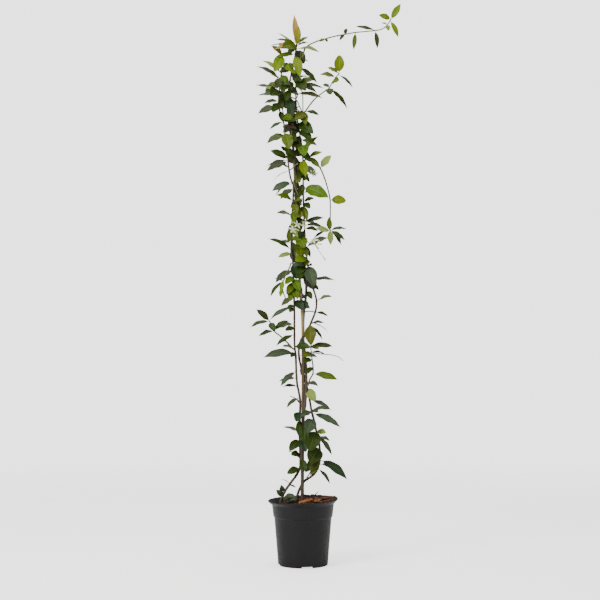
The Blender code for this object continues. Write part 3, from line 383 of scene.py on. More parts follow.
SHOOT_TONES = {
    "reaching_shoot": "gdddgddbbnbb",
    "upper_right_shoot": "doboogsddd",
    "hanging_shoot": "opobpgdddpd",
    "left_shoot": "ddddd",
    "loop_shoot": "bsd",
    "lower_right_shoot": "ddoddg",
    "basal_shoot": "sssss",
}
# Leaves close to the stems, which fill the plant out: the height of the root on a
# vine or its place in a shoot's points, the same five values, and the tone.
INNER_LEAVES = {
    "main_vine": (
        (1074, -27, -20, 1058, 15, 75, "g"), (1030, -42, -17, 1013, 16, 75, "d"),
        (1016, -36, -19, 990, 15, 80, "d"), (984, -17, -16, 975, 15, 70, "d"),
        (958, -20, -18, 938, 14, 75, "d"), (926, -14, -17, 904, 15, 75, "d"),
        (636, -9, -18, 612, 16, 80, "d"), (1122, -58, -18, 1101, 12, 70, "z"),
        (748, -6, -10, 712, 18, 78, "d"), (300, 3, -20, 264, 20, 82, "d"),
        (272, 6, -22, 244, 19, 82, "t"), (228, 6, -20, 202, 17, 80, "d")),
    "left_vine": (
        (1090, -68, -8, 1110, 12, 60, "o"), (1040, -70, -7, 1048, 8, 35, "o"),
        (1032, -27, -17, 1024, 17, 55, "d"), (1006, -82, -10, 1014, 12, 55, "s"),
        (1000, -43, -14, 970, 13, 70, "d"), (951, -13, -21, 948, 17, 60, "d"),
        (774, -12, -17, 750, 14, 75, "o"), (722, -10, -16, 700, 11, 75, "p"),
        (692, -14, -13, 671, 12, 75, "d"), (566, 3, -21, 545, 19, 75, "t"),
        (549, -29, -13, 541, 13, 60, "s")),
    "right_vine": (
        (889, 15, -18, 860, 17, 75, "d"), (850, -13, -17, 821, 14, 75, "d"),
        (681, 9, -14, 656, 11, 75, "p"), (654, 8, -13, 640, 13, 65, "o"),
        (641, 18, -11, 640, 13, 50, "s"), (330, 33, -9, 328, 13, 50, "s"),
        (642, 24, -20, 596, 27, 80, "s")),
    "upper_right_shoot": ((0, 6, -20, 938, 16, 75, "o"),),
    "loop_shoot": ((2, -48, -14, 584, 10, 80, "b"),),
    "lower_right_shoot": ((5, 34, -14, 463, 12, 60, "g"),),
}
# Leaves that hang between the stems by a rule: the vine, the heights between which
# they grow, and the headings that they draw from.
CORE_RANGES = (
    ("left_vine", (870, 1060), (-70, 70)), ("left_vine", (585, 765), (-60, 60)),
    ("main_vine", (845, 1115), (-180, 180)), ("right_vine", (640, 1000), (110, 250)),
)
CORE_STEP = 15.0
CORE_JITTER = 0.3
CORE_LENGTH = (25.0, 37.0)
CORE_PITCH = (-75.0, -10.0)
CORE_SLENDER = (0.42, 0.58)
CORE_FACE = 72.0
CORE_TONES = "dodgtdd"
CORE_SEED = 5
# Thin bare twigs on the vines: the height where each one springs from its vine,
# and the points that it passes.
TWIG_RADII = (0.95, 0.85)
TWIGS = {
    "main_vine": (
        (824, ((-20, -10, 820), (-14, -12, 800), (-8, -11, 786), (-5, -9, 772))),
        (1014, ((-22, -9, 1009), (-11, -9, 1009), (-12, -8, 1002), (-15, -7, 997))),
        (1002, ((-19, -9, 998), (-12, -8, 992), (-8, -7, 982), (-3, -7, 972), (-1, -7, 966))),
        (974, ((-20, -9, 971), (-15, -9, 976), (-9, -8, 981))),
        (968, ((-18, -9, 971), (-12, -9, 975), (-7, -8, 967), (-4, -8, 958)))),
    "left_vine": (
        (1000, ((-46, -5, 996), (-43, -6, 970), (-39, -6, 957))),
        (846, ((-26, -6, 846), (-11, -7, 860)))),
    "right_vine": (
        (1024, ((-6, -6, 1018), (-1, -6, 1008), (0, -6, 968))),
        (184, ((8, -6, 187), (13, -7, 194), (17, -7, 203))),
        (541, ((14, -7, 543), (0, -8, 541)))),
}
# Near leaves reach this many times further to the viewer than the tables say. The CAD part
# moved each tip that would cross another node by one of these depths and heights, and a
# point of its solid that lies this near to one of these tries is that tip.
NEAR_REACH = 1.5
DEPTH_TRIES = (0, -5, 5, -10, 10, -15, 15, -20, 20, -26, 26, -32, 32)
RISE_TRIES = (0, 5, -5, 10, -10)
TIP_MATCH = 0.05

# Leaves of the far side, which repeat up each vine by a rule
FAR_STEP = 58.0
FAR_RANGES = {"main_vine": (250, 1070), "left_vine": (225, 1060), "right_vine": (215, 1050)}
FAR_HEADINGS = {"main_vine": (70, 110), "left_vine": (115, 172), "right_vine": (8, 65)}
FAR_SWING = 0.25
FAR_LENGTH = (38.0, 58.0)
FAR_PITCH = (-34.0, 26.0)
FAR_SLENDER = 0.36
FAR_FACE = -35.0
FAR_SEED = 11
# Tones of the far leaves that grow at or above each height
FAR_TONES = ((850.0, "gdbd"), (0.0, "ddgd"))

# Blade
PETIOLE_SHARE = 0.10
BLADE_FOLD = 0.16
FOLD_POWER = 1.2
BLADE_ARCH = 0.10
BLADE_ROWS = 18
BLADE_COLUMNS = 8
BLADE_THICKNESS = 0.42
RIM_THICKNESS = 0.24
TIP_HALF = 0.12
OUTLINE_SKEW = 0.9
OUTLINE_FULLNESS = 0.75
TIP_SHARPNESS = 0.5
TIP_BLUNTNESS = 0.16
SLIM_ASPECT = 0.30
ROUND_ASPECT = 0.52
WAVE_HEIGHT = 0.11
WAVE_COUNT = (1.6, 2.9)
TWIST = 12.0
TWIST_CENTRE = 0.4
SWAY = 0.035
RIB_RADII = (0.95, 0.6, 0.14)
RIB_TAPER = 0.7
RIB_SINK = (0.8, 6.0)
RIB_ROWS = 12
RIB_SIDES = 8
RIB_REACH = 0.93

# Flower sprays: the stem that carries it, the height of its seat, its stalk's
# points, its open flowers and its buds.
SPRAYS = {
    "front_flower_spray": ("left_vine", 712.0, ((-21, -18, 718), (-17, -27, 724)),
                           ((-12, -33, 728), (2, -34, 727), (-22, -33, 716)),
                           ((-29, -30, 727), (-25, -31, 736), (-8, -33, 714))),
    "right_flower_spray": ("right_vine", 692.0, ((16, -9, 688), (28, -13, 686)),
                           ((23, -20, 694),),
                           ((36, -16, 694), (41, -14, 686), (34, -18, 676), (48, -8, 652))),
    "upper_flower_spray": ("right_vine", 826.0, ((11, -9, 834), (20, -13, 838)),
                           (),
                           ((27, -14, 846), (32, -14, 837), (24, -18, 830), (17, -19, 844))),
}
STALK_RADII = (1.0, 0.8)
STALK_STEP = 2.0
FORK_START = 0.9
FORK_STEP = 0.8
PEDICEL_RADIUS = 0.6
PEDICEL_STEP = 1.2
PETAL_COUNT = 5
PETAL_LENGTH = 10.5
PETAL_WIDTH = 3.8
PETAL_ROOT = 0.9
PETAL_SINK = 0.5
PETAL_ROWS = 9
PETAL_COLUMNS = 6
PETAL_THICKNESS = 0.3
PETAL_THROAT = 0.22
PETAL_ARC = (0.12, 0.92)
PETAL_SWELL = 1.2
PETAL_END = 0.8
PETAL_RISE = 1.6
PETAL_FALL = 2.4
PETAL_SWEEP = 1.1
PETAL_CUP = 0.35
PETAL_SHEAR = 0.476
PETAL_TWIST = 24.0
# Round parts of an open flower and of a bud: the finish of each, then how far each of its rings
# lies from the flower's base, and the ring's radius. THROAT_TONE is how far along a petal the
# colour of the flower's tube is found.
FLOWER_LENGTH = 7.0
FLOWER_PARTS = (
    ("sepal", ((-0.6, 0.6), (0.2, 1.3), (1.2, 1.3), (2.3, 0.7))),
    ("petal", ((0.7, 0.8), (2.8, 0.9), (4.2, 1.5), (5.95, 1.2), (7.0, 1.9))),
    ("bud", ((6.2, 1.1), (7.2, 0.8), (7.7, 0.2))),
)
BUD_LENGTH = 9.0
BUD_PARTS = (
    ("sepal", ((-0.6, 0.6), (0.2, 1.3), (1.2, 1.3), (2.2, 0.7))),
    ("bud", ((0.9, 0.68), (2.7, 0.765), (4.32, 1.054), (5.58, 1.615), (6.75, 1.7), (7.92, 1.224),
             (9.0, 0.34))),
)
THROAT_TONE = 0.15

# Finishes. Leaf tones: the upper side, its veins, and how rough it is.
TONES = {
    "z": ("bronze", "A27C3C", "B98A58", 0.42),
    "y": ("yellow olive", "8A8A1C", "A8A446", 0.42),
    "b": ("bright green", "687C0C", "8C983A", 0.42),
    "g": ("mid green", "4A6008", "70802A", 0.40),
    "o": ("olive", "545E14", "7A8038", 0.42),
    "p": ("pale green", "7E9242", "9CA85E", 0.48),
    "d": ("dark green", "2C3C0A", "4A5822", 0.40),
    "t": ("deep teal green", "22361A", "425436", 0.40),
    "s": ("grey green", "3C4830", "5A644A", 0.42),
    "m": ("maroon", "3C2620", "5E4236", 0.44),
    "n": ("dry brown", "5A3E22", "745838", 0.60),
}
LEAF_SPECULAR = 0.14
UNDERSIDE = "7E8C62"
UNDERSIDE_SHARE = 0.22
VEIN_PAIRS = 8.0
VEIN_SLANT = 0.30
# Stem bark: the old and the young colour, the heights where it turns, and how rough it is
BARKS = {
    "old bark": ("vine bark", "483A2C", "56542E", 820, 1120, 0.7),
    "young bark": ("shoot bark", "564C2C", "646E36", 300, 1150, 0.55),
}
# Soil and chips: the dark, light and fleck colours, the scale of the patches, and the relief
EARTHS = {
    "soil": ("potting soil", "15100B", "2B2018", "4A3A2A", 160.0, 0.8),
    "bark bed": ("bark fines", "22140C", "4A2C1A", "7A4A2A", 150.0, 0.8),
    "orange bark": ("orange bark", "9C6236", "CE935A", "6E4222", 110.0, 0.6),
    "brown bark": ("brown bark", "4E2C18", "84502E", "9C6A42", 110.0, 0.6),
    "dark bark": ("dark bark", "24160E", "432A1B", "6A4A30", 120.0, 0.6),
    "mossy bark": ("mossy bark", "3A2E16", "5A4822", "6A6430", 130.0, 0.6),
}

Leaf = namedtuple("Leaf", "root tip width face tone")


# Small helpers

def between(pair, share):
    """A value part of the way from the first of two to the second."""
    return pair[0] + (pair[1] - pair[0]) * share


def tapered(radii, count):
    """Radii that run evenly from the first of two to the second."""
    return [between(radii, k / (count - 1)) for k in range(count)]


def polar(radius, angle):
    """The x and y of a point at a distance from the axis, at an angle."""
    return radius * math.cos(angle), radius * math.sin(angle)


def tint(code):
    """A linear colour from the six digits of a screen colour."""
    out = []
    for k in (0, 2, 4):
        value = int(code[k:k + 2], 16) / 255
        out.append(value / 12.92 if value <= 0.04045 else ((value + 0.055) / 1.055) ** 2.4)
    return (*out, 1.0)


def blend(first, second, share):
    """A linear colour between two screen colours."""
    return tuple(between(pair, share) for pair in zip(tint(first), tint(second)))


def add_object(name, data):
    """A new object in the scene."""
    thing = bpy.data.objects.new(name, data)
    bpy.context.scene.collection.objects.link(thing)
    return thing


# Shader building

class Wiring:
    """Short ways to add and join shader nodes in one tree."""

    def __init__(self, tree):
        self.tree = tree

    def feed(self, node, sockets):
        """Fill a node's inputs from other nodes' outputs, screen colours or plain values."""
        for key, value in sockets.items():
            if isinstance(value, bpy.types.NodeSocket):
                self.tree.links.new(value, node.inputs[key])
            else:
                node.inputs[key].default_value = tint(value) if isinstance(value, str) else value

    def put(self, kind, sockets=None, **settings):
        """A new node, with its settings and inputs."""
        made = self.tree.nodes.new(kind)
        for name, value in settings.items():
            setattr(made, name, value)
        self.feed(made, sockets or {})
        return made

    def math(self, operation, first, second=0.0):
        """The result of an operation on one or two values."""
        return self.put("ShaderNodeMath", {0: first, 1: second}, operation=operation).outputs[0]

    def times(self, first, second):
        """The product of two values."""
        return self.math("MULTIPLY", first, second)

    def plus(self, first, second):
        """The total of two values."""
        return self.math("ADD", first, second)

    def ramp(self, value, low, high, to_low=0.0, to_high=1.0):
        """A smooth step of a value from one range to another."""
        made = self.put("ShaderNodeMapRange",
                        {"Value": value, "From Min": low, "From Max": high,
                         "To Min": to_low, "To Max": to_high},
                        interpolation_type="SMOOTHSTEP")
        return made.outputs["Result"]

    def mix(self, factor, first, second, share=None):
        """One colour mixed into another, by the whole of a factor or by a share of it."""
        if share is not None:
            factor = self.times(factor, share)
        return self.put("ShaderNodeMix", {0: factor, 6: first, 7: second}, data_type="RGBA").outputs[2]

    def split(self, vector):
        """A vector's X, Y and Z."""
        return self.put("ShaderNodeSeparateXYZ", {0: vector}).outputs

    def spot(self):
        """Each point's place on the object, in metres."""
        return self.put("ShaderNodeTexCoord").outputs["Object"]

    def height_ramp(self, low, high, to_low=0.0, to_high=1.0):
        """A smooth step between two heights, in millimetres."""
        return self.ramp(self.split(self.spot())["Z"], low * MM, high * MM, to_low, to_high)

    def own_place(self):
        """How far along (X) and across (Y) its leaf or stem a point lies, and its draw (Z)."""
        return self.split(self.put("ShaderNodeAttribute", attribute_name="place").outputs["Vector"])

    def use(self, name, sockets=None):
        """The outputs of a copy of a shared node group."""
        return self.put("ShaderNodeGroup", sockets, node_tree=bpy.data.node_groups[name]).outputs

    def mottle(self, scale, stretch=1.0):
        """Coarse and fine patches."""
        return self.use("mottle", {"Scale": scale, "Stretch": stretch})


class Group(Wiring):
    """A shared node group that takes numbers and colours, with a plain value for each."""

    def __init__(self, name, inputs):
        super().__init__(bpy.data.node_groups.new(name, "ShaderNodeTree"))
        for label, value in inputs.items():
            kind = "NodeSocketColor" if isinstance(value, tuple) else "NodeSocketFloat"
            socket = self.tree.interface.new_socket(label, in_out="INPUT", socket_type=kind)
            socket.default_value = value
        self.entry = self.put("NodeGroupInput").outputs

    def leave(self, results, kind="NodeSocketFloat"):
        """Give the group its outputs."""
        for label in results:
            self.tree.interface.new_socket(label, in_out="OUTPUT", socket_type=kind)
        self.put("NodeGroupOutput", results)


class Finish(Wiring):
    """A material with one Principled shader."""

    def __init__(self, name, roughness, specular=0.5):
        self.material = bpy.data.materials.new(name)
        self.material.use_nodes = True
        super().__init__(self.material.node_tree)
        self.shade({"Roughness": roughness, "Metallic": 0.0, "Specular IOR Level": specular})

    def shade(self, sockets):
        """Fill the shader's own inputs."""
        self.feed(self.tree.nodes["Principled BSDF"], sockets)

    def colour(self, body, patch, patch_swing, hue_swing=0.0, draw=0.5, draw_swing=0.0):
        """The base colour: a body colour that a patch and the leaf's or chip's draw move a little."""
        moved = self.use("colour shift", {"Color": body, "Patch": patch, "Patch Swing": patch_swing,
                                          "Hue Swing": hue_swing, "Draw": draw,
                                          "Draw Swing": draw_swing})
        self.shade({"Base Color": moved["Color"]})

    def bump(self, height, distance):
        """Relief from a height, in millimetres."""
        made = self.put("ShaderNodeBump", {"Height": height, "Distance": distance * MM, "Strength": 1.0})
        self.shade({"Normal": made.outputs["Normal"]})


def mottle_group():
    """Coarse and fine patches over the object, which can be drawn out along Z."""
    group = Group("mottle", {"Scale": 50.0, "Stretch": 1.0})
    scale = group.entry["Scale"]
    squeeze = group.put("ShaderNodeCombineXYZ", {0: 1.0, 1: 1.0, 2: group.entry["Stretch"]})
    drawn = group.put("ShaderNodeVectorMath", {0: group.spot(), 1: squeeze.outputs[0]},
                      operation="MULTIPLY").outputs[0]
    coarse = group.put("ShaderNodeTexNoise", {"Vector": drawn, "Scale": scale, "Detail": 3.0})
    fine = group.put("ShaderNodeTexNoise",
                     {"Vector": drawn, "Scale": group.times(scale, 6.5), "Detail": 4.0})
    group.leave({"Coarse": coarse.outputs["Fac"], "Fine": fine.outputs["Fac"]})


def shift_group():
    """A colour moved a little in hue and brightness by a patch and by a piece's own draw."""
    group = Group("colour shift", {"Color": (0.5, 0.5, 0.5, 1.0), "Patch": 0.5, "Draw": 0.5,
                                   "Hue Swing": 0.03, "Patch Swing": 0.3, "Draw Swing": 0.3})
    entry = group.entry
    off = group.math("SUBTRACT", entry["Draw"], 0.5)
    hue = group.plus(group.times(off, entry["Hue Swing"]), 0.5)
    patch = group.times(group.math("SUBTRACT", entry["Patch"], 0.5), entry["Patch Swing"])
    value = group.plus(group.plus(patch, group.times(off, entry["Draw Swing"])), 1.0)
    moved = group.put("ShaderNodeHueSaturation",
                      {"Hue": hue, "Saturation": 1.0, "Value": value, "Color": entry["Color"]})
    group.leave({"Color": moved.outputs[0]}, "NodeSocketColor")


def veins_group():
    """A leaf's midrib and side veins, from each point's place along and across the blade."""
    group = Group("leaf veins", {})
    place = group.own_place()
    across = group.math("ABSOLUTE", place["Y"])
    midrib = group.ramp(across, 0.03, 0.12, 1.0, 0.0)
    bend = group.times(group.math("POWER", across, 0.8), VEIN_SLANT)
    rise = group.times(group.math("SUBTRACT", place["X"], bend), VEIN_PAIRS)
    cell = group.math("PINGPONG", rise, 0.5)
    fade = group.ramp(across, 0.55, 0.95, 1.0, 0.0)
    pillow = group.times(group.times(cell, 2.0), fade)
    group.leave({"Midrib": midrib, "Veins": group.times(group.ramp(cell, 0.02, 0.11, 1.0, 0.0), fade),
                 "Relief": group.math("SUBTRACT", pillow, midrib),
                 "Margin": group.ramp(across, 0.86, 1.0), "Draw": place["Z"]})


def leaf_finish(letter):
    """The upper side and the underside of one leaf tone."""
    name, blade, vein, roughness = TONES[letter]
    top = Finish(name + " leaf", roughness, LEAF_SPECULAR)
    veins = top.use("leaf veins")
    patches = top.mottle(55.0)
    body = top.mix(veins["Veins"], blade, vein, share=0.18)
    body = top.mix(veins["Midrib"], body, vein, share=0.5)
    body = top.mix(veins["Margin"], body, vein, share=0.14)
    top.colour(body, patches["Coarse"], patch_swing=0.4, hue_swing=0.035,
               draw=veins["Draw"], draw_swing=0.36)
    top.shade({"Roughness": top.ramp(patches["Fine"], 0.2, 0.8, roughness - 0.07, roughness + 0.12)})
    top.bump(veins["Relief"], 0.22)

    under = Finish(name + " underside", 0.62)
    veins = under.use("leaf veins")
    body = under.mix(veins["Veins"], blend(blade, UNDERSIDE, UNDERSIDE_SHARE), vein, share=0.3)
    under.colour(body, under.mottle(70.0)["Coarse"], patch_swing=0.5, hue_swing=0.03,
                 draw=veins["Draw"], draw_swing=0.3)
    under.bump(under.times(veins["Relief"], -1.0), 0.25)
    return top, under


def stem_finish(name, low, high, lowest, highest, roughness):
    """Bark that turns from an old colour low down to a young one higher up."""
    bark = Finish(name, roughness)
    patches = bark.mottle(420.0, stretch=0.16)
    cracks = bark.ramp(patches["Fine"], 0.52, 0.66)
    specks = bark.put("ShaderNodeTexVoronoi", {"Vector": bark.spot(), "Scale": 620.0})
    pores = bark.ramp(specks.outputs["Distance"], 0.10, 0.22, 1.0, 0.0)
    body = bark.mix(bark.height_ramp(lowest, highest), low, high)
    body = bark.mix(cracks, body, blend(low, "1C120C", 0.6), share=0.45)
    body = bark.mix(pores, body, "B79C7C", share=0.5)
    bark.colour(body, patches["Coarse"], patch_swing=0.9)
    bark.bump(bark.plus(bark.times(patches["Fine"], 0.8), pores), 0.35)
    return bark


def petiole_finish():
    """Leaf stalks and midribs, from olive to brown."""
    stalk = Finish("leaf stalk", 0.48)
    patches = stalk.mottle(140.0)
    body = stalk.mix(patches["Coarse"], "62702E", "70643A")
    stalk.colour(body, patches["Fine"], patch_swing=0.3, hue_swing=0.05,
                 draw=stalk.own_place()["Z"], draw_swing=0.5)
    stalk.bump(patches["Fine"], 0.1)
    return stalk


def cane_finish():
    """Bamboo: fine lengthwise fibres, darker joint rings, and painted shade that darkens it low down and
    high up, where the plant shades it.
    """
    cane = Finish("bamboo", 0.46)
    low, high = CANE_UNSHADED
    # Painted shade: the cane is darkened below and above its pale middle, where the stems and leaves
    # shade it
    painted_shade = cane.plus(cane.height_ramp(low - CANE_SHADE_FADE, low, CANE_PAINTED_SHADE, 0.0),
                      cane.height_ramp(high, high + CANE_SHADE_FADE, 0.0, CANE_PAINTED_SHADE))
    fibres = cane.mottle(900.0, stretch=0.02)
    patches = cane.mottle(60.0, stretch=0.4)
    body = cane.mix(fibres["Coarse"], "74603C", "A9925F")
    body = cane.mix(cane.ramp(patches["Coarse"], 0.5, 0.75, 0.0, 0.5), body, "786A4C")
    # Painted shade: dark brown mixed in below and above the pale middle
    body = cane.mix(painted_shade, body, "3A2C18")
    body = cane.mix(cane.own_place()["Y"], body, "4E3822", share=0.75)
    cane.shade({"Base Color": body})
    cane.bump(fibres["Coarse"], 0.16)
    return cane


def pot_finish():
    """Thin black moulded plastic, dusty low down, with faint scuffs."""
    plastic = Finish("charcoal plastic", 0.4, specular=0.3)
    patches = plastic.mottle(26.0)
    scuffs = plastic.mottle(130.0, stretch=7.0)
    dust = plastic.times(plastic.height_ramp(*DUST_FADE, 1.0, 0.0),
                         plastic.ramp(patches["Fine"], 0.42, 0.7))
    body = plastic.mix(dust, "0E0B0E", "2A2624", share=0.3)
    body = plastic.mix(plastic.ramp(scuffs["Fine"], 0.62, 0.74), body, "232125", share=0.2)
    plastic.colour(body, patches["Coarse"], patch_swing=0.35)
    gloss = plastic.ramp(patches["Fine"], 0.3, 0.7, 0.34, 0.48)
    plastic.shade({"Roughness": plastic.plus(gloss, plastic.times(dust, 0.25))})
    plastic.bump(plastic.mottle(700.0)["Coarse"], 0.07)
    return plastic


def earth_finish(name, dark, light, fleck, scale, relief):
    """Soil or bark: patches of two colours, with flecks of a third."""
    earth = Finish(name, 0.9)
    patches = earth.mottle(scale)
    grain = earth.mottle(scale * 4.0, stretch=2.2)
    body = earth.mix(earth.ramp(patches["Fine"], 0.35, 0.65), dark, light)
    body = earth.mix(earth.ramp(grain["Coarse"], 0.6, 0.72, 0.0, 0.7), body, fleck)
    earth.colour(body, patches["Coarse"], patch_swing=0.5, hue_swing=0.03,
                 draw=earth.own_place()["Z"], draw_swing=0.9)
    earth.bump(earth.plus(patches["Fine"], grain["Fine"]), relief)
    return earth


def petal_finish():
    """Cream petals, greener and yellower towards the throat."""
    petal = Finish("cream petal", 0.55)
    place = petal.own_place()
    streaks = petal.math("PINGPONG", petal.times(place["Y"], 3.0), 0.5)
    body = petal.mix(petal.ramp(place["X"], 0.0, 0.38, 1.0, 0.0), "F4F0CC", "D6D07C")
    body = petal.mix(streaks, body, "E6E3BE", share=0.35)
    petal.colour(body, petal.mottle(260.0)["Coarse"], patch_swing=0.12, hue_swing=0.01,
                 draw=place["Z"], draw_swing=0.1)
    petal.bump(streaks, 0.12)
    return petal


def sepal_finish(name, dark, light):
    """Fresh green of the flower stalks, calyces and buds."""
    green = Finish(name, 0.5)
    patches = green.mottle(180.0, stretch=0.5)
    green.shade({"Base Color": green.mix(patches["Coarse"], dark, light)})
    green.bump(patches["Fine"], 0.1)
    return green


def make_finishes():
    """Every finish by its short name, after the groups that they share."""
    mottle_group()
    shift_group()
    veins_group()
    made = {
        "petiole": petiole_finish(),
        "bamboo": cane_finish(),
        "plastic": pot_finish(),
        "petal": petal_finish(),
        "sepal": sepal_finish("flower stalk", "7E9448", "A5B36A"),
        "bud": sepal_finish("flower bud", "B4BE72", "DDDDA6"),
    }
    for label, values in BARKS.items():
        made[label] = stem_finish(*values)
    for label, values in EARTHS.items():
        made[label] = earth_finish(*values)
    for letter in TONES:
        made[letter], made[letter + " under"] = leaf_finish(letter)
    return made


# Mesh building

def smooth_route(points, step):
    """Points along a smooth curve through the route's own points."""
    route = [Vector(p) for p in points]
    ends = [route[0] * 2 - route[1]] + route + [route[-1] * 2 - route[-2]]
    out = [route[0]]
    for a, b, c, d in zip(ends, ends[1:], ends[2:], ends[3:]):
        count = max(1, round((c - b).length / step))
        for i in range(1, count + 1):
            t = i / count
            out.append(0.5 * (2 * b + (c - a) * t + (2 * a - 5 * b + 4 * c - d) * t ** 2
                              + (3 * b - a - 3 * c + d) * t ** 3))
    return out


def lengths_along(points):
    """How far along a chain of points each one lies."""
    out = [0.0]
    for near, far in zip(points, points[1:]):
        out.append(out[-1] + (far - near).length)
    return out


def ring_faces(rings, turned=False):
    """Faces between rings of point numbers. A ring may be one point, repeated."""
    faces = []
    for lower, upper in zip(rings, rings[1:]):
        for k in range(len(lower)):
            n = (k + 1) % len(lower)
            corners = (lower[k], lower[n], upper[n], upper[k])
            if turned:
                corners = (lower[k], upper[k], upper[n], lower[n])
            faces.append(tuple(dict.fromkeys(corners)))
    return faces


def barrel_faces(count, sides, turned=False):
    """Faces of a closed skin over rings of points, with a flat cap at each end."""
    rings = [range(i * sides, (i + 1) * sides) for i in range(count)]
    ends = (rings[0], reversed(rings[-1])) if turned else (reversed(rings[0]), rings[-1])
    return ring_faces(rings, turned) + [tuple(end) for end in ends]


def sheet_faces(rows, columns):
    """Faces of a thin closed sheet: its top grid, then its underside and the rim between."""
    top = [[i * (columns + 1) + j for j in range(columns + 1)] for i in range(rows + 1)]
    shift = (rows + 1) * (columns + 1)
    upper = []
    others = []
    for i in range(rows):
        for j in range(columns):
            face = (top[i][j], top[i + 1][j], top[i + 1][j + 1], top[i][j + 1])
            upper.append(face)
            others.append(tuple(k + shift for k in reversed(face)))
    edges = [(top[i][j], top[i + 1][j], j == 0) for i in range(rows) for j in (0, columns)]
    edges += [(top[i][j], top[i][j + 1], i == rows) for j in range(columns) for i in (0, rows)]
    for near, far, turned in edges:
        face = (near, far, far + shift, near + shift)
        others.append(tuple(reversed(face)) if turned else face)
    return upper, others


class Skin:
    """Points and faces gathered for one object, with a finish for each face.

    Each point has a place: how far along and across its leaf or stem it lies,
    and a number between 0 and 1 that was drawn for its leaf or chip.
    """

    def __init__(self):
        self.points = []
        self.faces = []
        self.finishes = []
        self.places = []

    def add(self, points, faces, finishes, places=None, draw=0.5):
        """Add points and faces, with one finish for them all or a list of one for each face."""
        first = len(self.points)
        self.points += points
        self.faces += [tuple(first + k for k in face) for face in faces]
        self.finishes += [finishes] * len(faces) if isinstance(finishes, str) else finishes
        self.places += places or [(0.5, 0.5, draw)] * len(points)

    def tube(self, points, radii, sides, finish, *, along=None, across=None, draw=0.5, rough=0.0):
        """Add a closed round tube along a chain of points, with a radius at each.

        Its points' places run from 0 to 1 along it, or are all the same where along is given.
        Across it they are 0, or have a value at each point of the chain, as at the cane's joints.
        """
        verts = []
        places = []
        side = None
        lengths = lengths_along(points)
        for i, (point, radius) in enumerate(zip(points, radii)):
            ahead = points[min(i + 1, len(points) - 1)]
            behind = points[max(i - 1, 0)]
            way = (ahead - behind).normalized()
            side = side or way.orthogonal().normalized()
            side = (side - way * side.dot(way)).normalized()
            other = way.cross(side)
            share = lengths[i] / lengths[-1] if along is None else along
            places += [(share, across[i] if across else 0.0, draw)] * sides
            for k in range(sides):
                angle = math.tau * k / sides
                offset = side * math.cos(angle) + other * math.sin(angle)
                uneven = 1 + rough * noise.noise((point + offset * radius) * TUBE_GRAIN)
                verts.append(point + offset * radius * uneven)
        self.add(verts, barrel_faces(len(points), sides), finish, places)

    def sheet(self, grid, sides_at, own, finish, under=None, flipped=False):
        """Add a thin closed sheet with a grid of rows and columns.

        From how far along (0 to 1) and across (-1 to 1) a point lies, sides_at gives the
        point on the upper side and the one below it.
        """
        rows, columns = grid
        spots = [(i / rows, 2 * j / columns - 1) for i in range(rows + 1) for j in range(columns + 1)]
        upper, lower = zip(*(sides_at(u, v) for u, v in spots))
        tops, others = sheet_faces(rows, columns)
        faces = [tuple(reversed(face)) if flipped else face for face in tops + others]
        finishes = [finish] * len(tops) + [under or finish] * len(others)
        self.add([*upper, *lower], faces, finishes, [(u, v, own) for u, v in spots] * 2)

    def build(self, name, finishes, slot, *nodes, sharp=PLANT_SHARP):
        """The object, which stands for its CAD nodes and rides with the part."""
        mesh = bpy.data.meshes.new(name)
        mesh.from_pydata([Vector(p) * MM for p in self.points], [], self.faces)
        used = list(dict.fromkeys(self.finishes))
        for label in used:
            mesh.materials.append(finishes[label].material)
        order = {label: k for k, label in enumerate(used)}
        mesh.polygons.foreach_set("material_index", [order[label] for label in self.finishes])
        spots = mesh.attributes.new("place", "FLOAT_VECTOR", "POINT")
        spots.data.foreach_set("vector", [value for place in self.places for value in place])
        mesh.polygons.foreach_set("use_smooth", [True] * len(mesh.polygons))
        mesh.set_sharp_from_angle(angle=math.radians(sharp))
        thing = add_object(name, mesh)
        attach(thing, BODY)
        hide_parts(*nodes)
        return thing


# Leaves

def outline(share, roundness):
    """A leaf's half width along its blade, as a share of the widest: slim ones taper to a point."""
    swell = math.sin(math.pi * min(1.0, share) ** OUTLINE_SKEW)
    taper = TIP_SHARPNESS * share ** 3 * (1 - roundness) - TIP_BLUNTNESS * share ** 2 * roundness
    return max(0.0, swell) ** (OUTLINE_FULLNESS + taper)


def add_leaf(skin, leaf, draw):
    """A leaf: a folded, arched and waved blade on its stalk."""
    chord = leaf.tip - leaf.root
    length = chord.length
    along = chord / length
    turn = math.radians(leaf.face)
    up = Vector((0, -math.sin(turn), math.cos(turn)))
    up = (up - along * up.dot(along)).normalized()
    side = up.cross(along)
    own = draw.random()
    sway = draw.uniform(-SWAY, SWAY)
    twist = math.radians(draw.uniform(-TWIST, TWIST))
    waves = draw.uniform(*WAVE_COUNT)
    phases = (draw.uniform(0, math.tau), draw.uniform(0, math.tau))
    aspect = leaf.width / length
    roundness = min(1.0, max(0.0, (aspect - SLIM_ASPECT) / (ROUND_ASPECT - SLIM_ASPECT)))

    def centre(share):
        lift = 4 * share * (1 - share) * length
        return leaf.root + chord * share + up * (lift * BLADE_ARCH) + side * (lift * sway)

    def sides_at(u, v):
        half = max(outline(u, roundness) * leaf.width / 2, TIP_HALF)
        angle = twist * (u - TWIST_CENTRE)
        across = side * math.cos(angle) + up * math.sin(angle)
        above = up * math.cos(angle) - side * math.sin(angle)
        phase = phases[0] if v < 0 else phases[1]
        wave = math.sin(math.tau * waves * u + phase) * WAVE_HEIGHT * v * v
        lift = half * (BLADE_FOLD * abs(v) ** FOLD_POWER + wave)
        thick = between((RIM_THICKNESS, BLADE_THICKNESS), 1 - v * v)
        point = centre(between((PETIOLE_SHARE, 1), u)) + across * (v * half) + above * lift
        return point + above * (thick / 2), point - above * (thick / 2)

    skin.sheet((BLADE_ROWS, BLADE_COLUMNS), sides_at, own, leaf.tone, leaf.tone + " under")
    add_rib(skin, centre, up, own)


